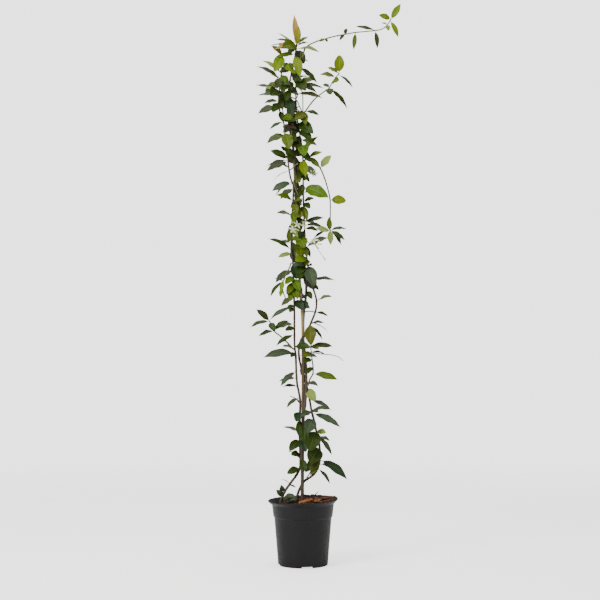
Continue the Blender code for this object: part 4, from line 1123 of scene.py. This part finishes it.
def add_rib(skin, centre, up, own):
    """A leaf's stalk, which runs on under the blade as its midrib."""
    line = []
    radii = []
    root, neck, end = RIB_RADII
    for i in range(RIB_ROWS + 1):
        share = between((PETIOLE_SHARE, 1), RIB_REACH) * i / RIB_ROWS
        on_blade = max(0.0, (share - PETIOLE_SHARE) / (1 - PETIOLE_SHARE))
        radius = between((neck, end), on_blade ** RIB_TAPER)
        if share < PETIOLE_SHARE:
            radius = between((root, neck), share / PETIOLE_SHARE)
        line.append(centre(share) - up * min(radius * RIB_SINK[0], on_blade * RIB_SINK[1]))
        radii.append(radius)
    skin.tube(line, radii, RIB_SIDES, "petiole", draw=own)


class Stem:
    """A stem's coarse centreline, as the CAD part has it, and its fine one."""

    def __init__(self, route, radii, step):
        self.route = [Vector(p) for p in route]
        self.marks = self.route
        self.radii = radii
        self.points = smooth_route(route, step)

    def at_height(self, height):
        """The centre, direction and radius where the stem reaches a height, or else at its end."""
        last = len(self.points) - 1
        for i, (low, high) in enumerate(zip(self.points, self.points[1:])):
            if low.z <= height <= high.z:
                share = (height - low.z) / (high.z - low.z)
                return low.lerp(high, share), (high - low).normalized(), between(self.radii, i / last)
        return self.points[-1], (self.points[-1] - self.points[-2]).normalized(), self.radii[1]

    def at_mark(self, mark, rank):
        """The root of one of the leaves at a marked point: each a little below the last."""
        above = max(mark, 1)
        down = (self.marks[above - 1] - self.marks[above]).normalized()
        return self.marks[mark] + down * (ROOT_STAGGER * rank)

    def fine_line(self, draw):
        """Fine points and radii: swollen a little at even steps, like knots, and closed by a bud."""
        points = smooth_route(self.route, FINE_STEP)
        lengths = lengths_along(points)
        offset = draw.uniform(0, KNOT_STEP)
        radii = []
        for length in lengths:
            gap = (length + offset) % KNOT_STEP - KNOT_STEP / 2
            swell = BARK_SWELL + KNOT_SWELL * math.exp(-(gap / KNOT_HALF) ** 2)
            radii.append(between(self.radii, length / lengths[-1]) * swell)
        end = points[-1]
        ahead = (end - points[-2]).normalized()
        for reach, swell in END_BUD:
            points.append(end + ahead * reach)
            radii.append(self.radii[1] * swell)
        return points, radii


def seated_route(carrier, height, marks):
    """A side stem's route, which starts square to its carrier's bark."""
    centre, along, radius = carrier.at_height(height)
    towards = Vector(marks[0]) - centre
    towards = (towards - along * towards.dot(along)).normalized()
    seat = centre + towards * (radius + CLEAR)
    return [seat, seat + towards * SEAT_LENGTH] + [Vector(p) for p in marks]


def make_stems():
    """Every stem of the plant, by its CAD node."""
    stems = {name: Stem(*values) for name, values in ROOTED.items()}
    for name, (carrier, height, radii, marks) in SHOOTS.items():
        stems[name] = Stem(seated_route(stems[carrier], height, marks), radii, SHOOT_STEP)
        stems[name].marks = [Vector(p) for p in marks]
    return stems


def direction(heading, pitch):
    """The way that a heading round the stem and a pitch above level point, in degrees."""
    pitch = math.radians(pitch)
    return Vector((*polar(math.cos(pitch), math.radians(heading)), math.sin(pitch)))


def far_leaves(node, draw):
    """Leaves of a vine's far side: headings swing to and fro as pairs alternate."""
    low, high = FAR_RANGES[node]
    rows = []
    for i in range(int((high - low) / FAR_STEP) + 1):
        swing = FAR_SWING + 0.5 * (i % 2) + draw.uniform(-FAR_SWING, FAR_SWING)
        way = direction(between(FAR_HEADINGS[node], swing), draw.uniform(*FAR_PITCH))
        length = draw.uniform(*FAR_LENGTH)
        rows.append((low + FAR_STEP * i, way * length, length * FAR_SLENDER))
    return rows


def planned_leaves(stems):
    """The CAD nodes' leaves, with their tips where the tables or the far side's rule put them."""
    leaves = {name: [] for name in stems}
    for name, rows in (("main_vine", MAIN_LEAVES), ("left_vine", LEFT_LEAVES),
                       ("right_vine", RIGHT_LEAVES)):
        for (height, x, y, z, width, face), tone in zip(rows, VINE_TONES[name]):
            root = stems[name].at_height(height)[0]
            leaves[name].append(Leaf(root, Vector((x, y, z)), width, face, tone))
    for name, rows in SHOOT_LEAVES.items():
        marks = [row[0] for row in rows]
        for rank, ((mark, x, y, z, width, face), tone) in enumerate(zip(rows, SHOOT_TONES[name])):
            root = stems[name].at_mark(mark, rank - marks.index(mark))
            leaves[name].append(Leaf(root, Vector((x, y, z)), width, face, tone))
    draw = random.Random(FAR_SEED)
    for name in FAR_RANGES:
        for i, (height, reach, width) in enumerate(far_leaves(name, draw)):
            root = stems[name].at_height(height)[0]
            tones = next(letters for low, letters in FAR_TONES if height >= low)
            leaves[name].append(Leaf(root, root + reach, width, FAR_FACE, tones[i % len(tones)]))
    return leaves


def settled_leaves(node, leaves):
    """The leaves with their tips where the CAD node has them, bent clear of its neighbours."""
    verts = frame["nodes"][node].data.vertices
    tree = kdtree.KDTree(len(verts))
    for k, vert in enumerate(verts):
        tree.insert(vert.co / MM, k)
    tree.balance()
    settled = []
    for leaf in leaves:
        tip = leaf.tip.copy()
        if tip.y < 0:
            tip.y *= NEAR_REACH
        tries = [tip + Vector((0, depth, rise)) for rise in RISE_TRIES for depth in DEPTH_TRIES]
        found = next((point for point in tries if tree.find(point)[2] < TIP_MATCH), None)
        if found is not None:
            settled.append(leaf._replace(tip=found))
    return settled


def inner_leaves(name, stem):
    """The leaves close to a stem, which fill the plant out between those of its CAD node."""
    leaves = []
    for start, x, y, z, width, face, tone in INNER_LEAVES.get(name, ()):
        root = stem.at_height(start)[0] if name in VINE_TONES else stem.marks[start]
        leaves.append(Leaf(root, Vector((x, y * NEAR_REACH, z)), width, face, tone))
    return leaves


def core_leaves(stems):
    """The leaves that hang between the stems, by the vine that they grow on."""
    draw = random.Random(CORE_SEED)
    leaves = {name: [] for name in stems}
    for name, (low, high), headings in CORE_RANGES:
        for i in range(int((high - low) / CORE_STEP) + 1):
            height = low + CORE_STEP * (i + draw.uniform(-CORE_JITTER, CORE_JITTER))
            root = stems[name].at_height(height)[0]
            length = draw.uniform(*CORE_LENGTH)
            reach = direction(draw.uniform(*headings), draw.uniform(*CORE_PITCH)) * length
            width = length * draw.uniform(*CORE_SLENDER)
            face = CORE_FACE if reach.y < 0 else -CORE_FACE
            leaves[name].append(Leaf(root, root + reach, width, face, draw.choice(CORE_TONES)))
    return leaves


def thin_twigs(name, stem):
    """Where each of a stem's tendrils and bare twigs starts, the points that it passes,
    and its radius at both ends."""
    twigs = [(stem.marks[mark], marks, TENDRIL_RADII) for mark, marks in TENDRILS.get(name, ())]
    for height, marks in TWIGS.get(name, ()):
        twigs.append((stem.at_height(height)[0], marks, TWIG_RADII))
    return twigs


def build_plant(finishes):
    """The vines and shoots: for each CAD node a stem piece and a piece of its leaves."""
    stems = make_stems()
    hanging = core_leaves(stems)
    for rank, (name, leaves) in enumerate(planned_leaves(stems).items()):
        draw = random.Random(rank)
        wood = Skin()
        bark = "old bark" if name in VINE_TONES else "young bark"
        wood.tube(*stems[name].fine_line(draw), FINE_SIDES, bark, rough=BARK_ROUGH)
        for start, marks, ends in thin_twigs(name, stems[name]):
            line = smooth_route([start, *marks], FINE_STEP)
            radii = [radius * BARK_SWELL for radius in tapered(ends, len(line))]
            wood.tube(line, radii, FINE_SIDES, "young bark")
        wood.build(name + "_stem", finishes, "leaf", name)
        foliage = Skin()
        for leaf in settled_leaves(name, leaves) + inner_leaves(name, stems[name]) + hanging[name]:
            add_leaf(foliage, leaf, draw)
        foliage.build(name + "_leaves", finishes, "leaf", name)
    return stems


# Flowers

def add_petal(skin, centre, out, facing, own):
    """One petal: narrow at the throat, wider and slanted at its end, and turned like a propeller."""
    side = facing.cross(out)

    def sides_at(u, v):
        reach = between((PETAL_ROOT, PETAL_LENGTH), u)
        swell = math.sin(math.pi * between(PETAL_ARC, u)) ** PETAL_SWELL
        half = PETAL_WIDTH / 2 * between((PETAL_THROAT, 1), swell)
        half *= math.sqrt(max(0.02, 1 - max(0.0, (u - PETAL_END) / (1 - PETAL_END)) ** 2))
        angle = math.radians(PETAL_TWIST) * u
        across = side * math.cos(angle) + facing * math.sin(angle)
        lift = PETAL_RISE * math.sin(math.pi / 2 * u) - PETAL_FALL * u * u
        slant = PETAL_SHEAR * half * v * u * u
        point = centre + out * (reach + slant) + across * (half * v + PETAL_SWEEP * u * u)
        point = point + facing * (lift - PETAL_CUP * half * v * v)
        return point + facing * (PETAL_THICKNESS / 2), point - facing * (PETAL_THICKNESS / 2)

    skin.sheet((PETAL_ROWS, PETAL_COLUMNS), sides_at, own, "petal")


def add_round_parts(skin, fork, tip, length, parts):
    """A flower's stalk and its round parts. The way that it faces comes back."""
    out = (tip - fork).normalized()
    base = tip - out * length
    line = smooth_route([fork, fork.lerp(base, 0.5), base], PEDICEL_STEP)
    skin.tube(line, [PEDICEL_RADIUS] * len(line), RIB_SIDES, "sepal")
    for finish, rings in parts:
        points = [base + out * reach for reach, _ in rings]
        skin.tube(points, [radius for _, radius in rings], FINE_SIDES, finish, along=THROAT_TONE)
    return out


def add_flower(skin, fork, tip, draw):
    """An open flower: its stalk and round parts, and five petals round the throat."""
    out = add_round_parts(skin, fork, tip, FLOWER_LENGTH, FLOWER_PARTS)
    start = out.orthogonal().normalized()
    for k in range(PETAL_COUNT):
        turn = Matrix.Rotation(math.tau * k / PETAL_COUNT, 3, out)
        add_petal(skin, tip - out * PETAL_SINK, turn @ start, out, draw.random())


def build_sprays(finishes, stems):
    """Each flower spray: its stalk and the flowers and buds that fork from it."""
    for name, (carrier, height, marks, flowers, buds) in SPRAYS.items():
        draw = random.Random(name)
        line = smooth_route(seated_route(stems[carrier], height, marks), STALK_STEP)
        skin = Skin()
        skin.tube(line, tapered(STALK_RADII, len(line)), FINE_SIDES, "sepal")
        down = (line[-2] - line[-1]).normalized()
        for rank, place in enumerate(flowers + buds):
            fork = line[-1] + down * (FORK_START + FORK_STEP * rank)
            if rank < len(flowers):
                add_flower(skin, fork, Vector(place), draw)
            else:
                add_round_parts(skin, fork, Vector(place), BUD_LENGTH, BUD_PARTS)
        skin.build(name + "_flowers", finishes, "flower", name)


# Cane, pot, soil and bark

def build_cane(finishes):
    """The bamboo cane, swollen into a ring at each joint."""
    line = smooth_route(CANE_ROUTE, CANE_STEP)
    radii = []
    rings = []
    for point in line:
        near = min(abs(point.z - height) for height in CANE_RINGS)
        swell = math.exp(-(near / CANE_RING_HALF) ** 2)
        share = (point.z - line[0].z) / (line[-1].z - line[0].z)
        radii.append(between(CANE_RADII, share) + CANE_RING * swell)
        rings.append(swell)
    skin = Skin()
    skin.tube(line, radii, CANE_SIDES, "bamboo", across=rings, rough=CANE_ROUGH)
    skin.build("bamboo_cane_rod", finishes, "cane", "bamboo_cane")


def eased(profile, radius):
    """A profile with every corner rounded between its two ends."""
    points = [Vector(p) for p in profile]
    out = [points[0]]
    for before, corner, after in zip(points, points[1:], points[2:]):
        shorter = min((corner - before).length, (after - corner).length)
        reach = min(radius, shorter * EASE_LIMIT)
        start = corner + (before - corner).normalized() * reach
        end = corner + (after - corner).normalized() * reach
        for k in range(EASE_POINTS + 1):
            t = k / EASE_POINTS
            out.append(start * (1 - t) ** 2 + corner * 2 * t * (1 - t) + end * t ** 2)
    out.append(points[-1])
    return out


def lathe(profile, segments):
    """A turned solid. The profile runs from the axis, out and back to the axis."""
    verts = []
    rings = []
    for radius, height in profile:
        if radius < 1e-6:
            rings.append([len(verts)] * segments)
            verts.append(Vector((0, 0, height)))
            continue
        rings.append(range(len(verts), len(verts) + segments))
        for k in range(segments):
            verts.append(Vector((*polar(radius, math.tau * (k + 0.5) / segments), height)))
    return verts, ring_faces(rings)


def wall_radius(height):
    """The outside radius of the pot's tapered wall, between its foot and its stacking band."""
    share = (height - FOOT_ROUND) / (BAND_FOOT - STEP_DROP - FOOT_ROUND)
    return between((FOOT_RADIUS, BAND_RADIUS - STEP_IN), share)


def pot_profile():
    """The pot's outside from the middle of its base up to the lip, then its inside down."""
    ring = FOOT_RADIUS - FOOT_ROUND
    outer = [(0, 0), (PAD_RADIUS, 0), (PAD_RADIUS + PAD_SLOPE, GROOVE_HEIGHT),
             (ring - FOOT_RING, GROOVE_HEIGHT), (ring - FOOT_RING + PAD_SLOPE, 0), (ring, 0),
             (FOOT_RADIUS, FOOT_ROUND), *((wall_radius(height), height) for height in WALL_ROWS),
             (BAND_RADIUS - STEP_IN, BAND_FOOT - STEP_DROP),
             (BAND_RADIUS, BAND_FOOT), (COLLAR_RADIUS, COLLAR_HEIGHT),
             (LIP_RADIUS, POT_HEIGHT - LIP_DEPTH), (LIP_RADIUS, POT_HEIGHT)]
    inner = [(LIP_RADIUS - WALL, POT_HEIGHT), (COLLAR_RADIUS - WALL, COLLAR_HEIGHT),
             (BAND_RADIUS - WALL, BAND_FOOT + WALL / 2),
             (BAND_RADIUS - STEP_IN - WALL, BAND_FOOT - STEP_DROP + WALL / 2),
             (FOOT_RADIUS - WALL, GROOVE_HEIGHT + WALL), (PAD_RADIUS + PAD_SLOPE, GROOVE_HEIGHT + WALL),
             (PAD_RADIUS, WALL), (0, WALL)]
    return [(v.x, v.y) for v in eased([(*p, 0) for p in outer + inner], POT_EASE)]


def cut_notches(pot):
    """Four shallow notches under the pot's foot ring."""
    cutters = bpy.data.collections.new("notch cutters")
    bpy.context.scene.collection.children.link(cutters)
    half = (FOOT_RING * 1.5, NOTCH_WIDTH / 2, (NOTCH_HEIGHT + NOTCH_SPARE) / 2)
    middle = (FOOT_RADIUS - FOOT_RING / 2, 0, (NOTCH_HEIGHT - NOTCH_SPARE) / 2)
    for k in range(NOTCH_COUNT):
        angle = math.radians(NOTCH_START - 90 + 360 * k / NOTCH_COUNT)
        mesh = bpy.data.meshes.new("notch")
        place = Matrix.Scale(MM, 4) @ Matrix.Rotation(angle, 4, "Z") @ Matrix.Translation(middle)
        corners = [place @ Vector((x * half[0], y * half[1], z * half[2]))
                   for x in (-1, 1) for y in (-1, 1) for z in (-1, 1)]
        mesh.from_pydata(corners, [], [(0, 1, 3, 2), (4, 6, 7, 5), (0, 4, 5, 1), (2, 3, 7, 6),
                                       (0, 2, 6, 4), (1, 5, 7, 3)])
        cutters.objects.link(bpy.data.objects.new("notch", mesh))
    boolean = pot.modifiers.new("notches", "BOOLEAN")
    boolean.operation = "DIFFERENCE"
    boolean.operand_type = "COLLECTION"
    boolean.collection = cutters
    graph = bpy.context.evaluated_depsgraph_get()
    mesh = bpy.data.meshes.new_from_object(pot.evaluated_get(graph))
    pot.modifiers.clear()
    pot.data = mesh
    mesh.set_sharp_from_angle(angle=math.radians(POT_SHARP))
    for cutter in list(cutters.objects):
        bpy.data.objects.remove(cutter, do_unlink=True)
    bpy.data.collections.remove(cutters)


def build_pot(finishes):
    """The pot: a turned shell whose lip rises a little to the right, notched at its foot."""
    verts, faces = lathe(pot_profile(), POT_SEGMENTS)
    for vert in verts:
        share = max(0.0, (vert.z - BAND_FOOT) / (POT_HEIGHT - BAND_FOOT))
        vert.z += LIP_TILT * share * vert.x / LIP_RADIUS
    skin = Skin()
    skin.add(verts, faces, "plastic")
    cut_notches(skin.build("pot_shell", finishes, "pot", "pot", sharp=POT_SHARP))


def random_seed(draw, reach):
    """A random place in the noise."""
    return Vector([draw.uniform(0, reach) for _ in range(3)])


def lump(centre, radius, draw):
    """A small rough lump: a ball with its points pushed about."""
    verts = []
    seed = random_seed(draw, 50)
    for i in range(LUMP_RINGS):
        tilt = math.pi * (i + LUMP_CAP) / (LUMP_RINGS - 1 + 2 * LUMP_CAP)
        for k in range(LUMP_SIDES):
            across = polar(math.sin(tilt), math.tau * k / LUMP_SIDES)
            way = Vector((*across, math.cos(tilt) * LUMP_FLATNESS))
            uneven = 1 + LUMP_ROUGH * noise.noise(way * LUMP_GRAIN + seed)
            verts.append(centre + way * (radius * uneven))
    return verts, barrel_faces(LUMP_RINGS, LUMP_SIDES, turned=True)


def layered_noise(x, y, layers):
    """How rough a surface is at a point, from layers of noise."""
    return sum(weight * noise.noise(Vector((x, y, level)) * scale) for level, scale, weight in layers)


def soil_height(x, y):
    """The height of the soil's rough top."""
    return SOIL_TOP + SOIL_ROUGH * layered_noise(x, y, SOIL_NOISE) - SOIL_DROP


def build_soil(finishes):
    """The soil: a body that fills the pot under a rough top with crumbs on it."""
    inset = WALL + CLEAR
    edge = COLLAR_RADIUS - inset - SOIL_MARGIN
    side = [(0, inset), (PAD_RADIUS - inset / 2, inset), (PAD_RADIUS, GROOVE_HEIGHT + inset),
            (FOOT_RADIUS - inset, GROOVE_HEIGHT + inset), (BAND_RADIUS - STEP_IN - inset, BAND_FOOT - 1),
            (BAND_RADIUS - inset, BAND_FOOT + 2), (edge, SOIL_TOP - 3)]
    top = [(edge * (1 - k / SOIL_RINGS), SOIL_TOP) for k in range(SOIL_RINGS + 1)]
    verts, faces = lathe(side + top, SOIL_SEGMENTS)
    for vert in verts:
        if vert.z >= SOIL_TOP:
            vert.z = soil_height(vert.x, vert.y)
    skin = Skin()
    skin.add(verts, faces, "soil")
    draw = random.Random(CHIP_SEED)
    for _ in range(CRUMB_COUNT):
        angle = draw.uniform(0, math.tau)
        x, y = polar((edge - CRUMB_MARGIN) * math.sqrt(draw.random()), angle)
        radius = draw.uniform(*CRUMB_RADIUS) * draw.uniform(*CRUMB_SCALE)
        verts, faces = lump(Vector((x, y, soil_height(x, y) + radius * CRUMB_RISE)), radius, draw)
        skin.add(verts, faces, "soil", draw=draw.random())
    skin.build("soil_bed", finishes, "soil", "potting_soil")


def mound_edge(angle):
    """How far the bark reaches from the pot's axis: less on the left."""
    return between((MOUND_LEFT, MOUND_RIGHT), (0.5 + 0.5 * math.cos(angle)) ** MOUND_FULLNESS)


def mound_height(x, y):
    """The height of the bark bed, without its roughness."""
    share = min(1.0, math.hypot(x, y) / mound_edge(math.atan2(y, x)))
    bumps = math.sin(x * MOUND_WAVES[0] + 1.0) * math.cos(y * MOUND_WAVES[1])
    return SOIL_TOP + CLEAR + MOUND_FOOT + (1 - share ** 2) * (MOUND_RISE + bumps)


def add_mound(skin):
    """The bed of fine bark under the chips: a low rough dome whose rim sinks into the soil."""
    verts = [Vector((0, 0, mound_height(0, 0)))]
    rings = [[0] * MOUND_SEGMENTS]
    for ring in range(1, MOUND_RINGS + 1):
        rings.append(range(len(verts), len(verts) + MOUND_SEGMENTS))
        drop = MOUND_FOOT + MOUND_SINK if ring == MOUND_RINGS else 0.0
        for k in range(MOUND_SEGMENTS):
            angle = math.tau * k / MOUND_SEGMENTS
            x, y = polar(mound_edge(angle) * ring / MOUND_RINGS, angle)
            rough = MOUND_ROUGH * layered_noise(x, y, MOUND_NOISE)
            verts.append(Vector((x, y, mound_height(x, y) + rough - drop)))
    rings.append([len(verts)] * MOUND_SEGMENTS)
    verts.append(Vector((0, 0, SOIL_TOP + CLEAR - MOUND_BASE)))
    skin.add(verts, ring_faces(rings, turned=True), "bark bed")


def add_chip(skin, size, place, finish, draw):
    """A flake of bark: ragged at its ends, stepped and cupped on its faces."""
    length, width, thickness = size
    seed = random_seed(draw, 90)
    cup = draw.uniform(*CHIP_CUP) * thickness

    def sides_at(share, v):
        u = 2 * share - 1
        ragged = noise.noise(Vector((v * 1.8, 0.3, u)) + seed)
        ribbed = noise.noise(Vector((u * 1.6, 4.0, v * 2.5)) + seed)
        stepped = round(2.0 * noise.noise(Vector((u * 1.2, v * 3.0, 7.0)) + seed))
        x = u * length / 2 * (1 + CHIP_RAGGED * ragged * abs(u))
        y = v * width / 2 * (1 - CHIP_TAPER * u * u) * (1 + CHIP_UNEVEN * ribbed)
        half = thickness / 2 * (1 - CHIP_EDGE * v * v)
        curl = cup * (v * v + 0.6 * u * u)
        crown = curl + half + thickness * (CHIP_STEP * stepped + CHIP_GRAIN * ribbed)
        belly = curl - half + thickness * CHIP_GRAIN * ragged
        return place @ Vector((x, y, crown)), place @ Vector((x, y, belly))

    grid = CHIP_GRID if length > FINES_LENGTH[1] else FINES_GRID
    skin.sheet(grid, sides_at, draw.random(), finish, flipped=True)


def turned(place, spin, tilt, roll):
    """A place with three turns, in degrees."""
    return (Matrix.Translation(place) @ Matrix.Rotation(math.radians(spin), 4, "Z")
            @ Matrix.Rotation(math.radians(tilt), 4, "Y") @ Matrix.Rotation(math.radians(roll), 4, "X"))


def bark_tone(x, draw):
    """Orange, brown and dark chips mixed, dark ones at the left and mossy ones at the right edge."""
    if x > MOSSY_FROM:
        return "mossy bark" if draw.random() < MOSSY_SHARE else "dark bark"
    if x < DARK_TO:
        return "dark bark" if draw.random() < DARK_SHARE else "brown bark"
    return draw.choice(MIDDLE_BARK)


def add_loose_chips(skin, stems, draw):
    """Chips and then fines scattered over the mound, clear of the stems and the pot's wall."""
    feet = [stem.at_height(SOIL_TOP + MOUND_RISE) for stem in stems]
    wall = COLLAR_RADIUS - WALL - CLEAR
    placed = 0
    while placed < CHIP_COUNT + FINES_COUNT:
        large = placed < CHIP_COUNT
        length = draw.uniform(*(CHIP_LENGTH if large else FINES_LENGTH))
        angle = draw.uniform(0, math.tau)
        x, y = polar(mound_edge(angle) * math.sqrt(draw.random()), angle)
        inside = math.hypot(x, y) + length * CHIP_REACH < wall
        free = all(math.hypot(x - p.x, y - p.y) > length / 2 + r + STEM_GAP for p, _, r in feet)
        if not (inside and free):
            continue
        thickness = draw.uniform(*CHIP_THICKNESS) * (1.0 if large else FINES_THINNESS)
        lift = draw.uniform(*(CHIP_LIFT if large else FINES_LIFT))
        place = turned((x, y, mound_height(x, y) + lift), draw.uniform(0, 180),
                       draw.uniform(-CHIP_TILT, CHIP_TILT), draw.uniform(-CHIP_TILT, CHIP_TILT))
        size = (length, length * draw.uniform(*CHIP_SLENDER), thickness)
        add_chip(skin, size, place, bark_tone(x, draw), draw)
        placed += 1


def build_mulch(finishes, stems):
    """The bark: a mound, loose chips, the pieces set one by one and an upright splinter."""
    skin = Skin()
    add_mound(skin)
    draw = random.Random(CHIP_SEED)
    add_loose_chips(skin, stems, draw)
    for place, size, turns, finish in SET_CHIPS:
        add_chip(skin, size, turned(place, *turns), finish, draw)
    line = smooth_route(SPLINTER, FINE_STEP)
    radii = tapered(SPLINTER_RADII, len(line))
    skin.tube(line, radii, RIB_SIDES, "dark bark", rough=SPLINTER_ROUGH)
    skin.build("bark_chips", finishes, "bark", "bark_mulch", sharp=CHIP_SHARP)


# Stage

def build_floor():
    """A pale round floor that fades out far from the pot."""
    mesh = bpy.data.meshes.new("floor")
    rim = [(*polar(FLOOR_REACH * MM, math.tau * k / FLOOR_SIDES), 0.0) for k in range(FLOOR_SIDES)]
    mesh.from_pydata(rim, [], [tuple(range(FLOOR_SIDES))])
    pale = Finish("pale floor", 0.6)
    away = pale.put("ShaderNodeVectorMath", {0: pale.spot()}, operation="LENGTH").outputs["Value"]
    seen = pale.put("ShaderNodeLightPath").outputs["Is Camera Ray"]
    pale.shade({"Base Color": "F7F6F4", "Emission Color": "FFFFFF",
                "Emission Strength": pale.times(seen, FLOOR_GLOW),
                "Alpha": pale.ramp(away, FLOOR_SOLID * MM, FLOOR_CLEAR * MM, 1.0, 0.0)})
    mesh.materials.append(pale.material)
    floor = add_object("floor", mesh)


def build_light():
    """A white surround, and three softboxes of which the left one is the key."""
    world = bpy.data.worlds.new("studio")
    bpy.context.scene.world = world
    world.use_nodes = True
    wiring = Wiring(world.node_tree)
    seen = wiring.put("ShaderNodeLightPath").outputs["Is Camera Ray"]
    level = wiring.plus(WORLD_LIGHT, wiring.times(seen, BACKDROP_WHITE - WORLD_LIGHT))
    wiring.feed(world.node_tree.nodes["Background"], {"Strength": level, "Color": "FFFFFF"})
    for name, (place, target, width, power) in LAMPS.items():
        light = bpy.data.lights.new(name, "AREA")
        light.shape = "DISK"
        light.size = width * MM
        light.energy = power
        lamp = add_object(name, light)
        lamp.location = Vector(place) * MM
        lamp.rotation_euler = (Vector(target) - Vector(place)).to_track_quat("-Z", "Y").to_euler()


def build_camera():
    """A level camera at the photograph's height and distance."""
    camera = bpy.data.cameras.new("camera")
    camera.sensor_width = SENSOR
    camera.lens = FOCAL
    holder = add_object("camera", camera)
    holder.location = Vector(CAMERA_PLACE) * MM
    holder.rotation_euler = (math.radians(90), 0, 0)
    bpy.context.scene.camera = holder


def clear_leftovers():
    """Remove whatever the scene held before the frame was loaded."""
    kept = set(frame["nodes"].values()) | set(frame["bodies"].values())
    for thing in list(bpy.data.objects):
        if thing not in kept:
            bpy.data.objects.remove(thing, do_unlink=True)


clear_leftovers()
finishes = make_finishes()
build_camera()
build_light()
build_floor()
stems = build_plant(finishes)
build_sprays(finishes, stems)
build_cane(finishes)
build_pot(finishes)
build_soil(finishes)
build_mulch(finishes, [stems[n] for n in ("main_vine", "left_vine", "right_vine", "basal_shoot")])
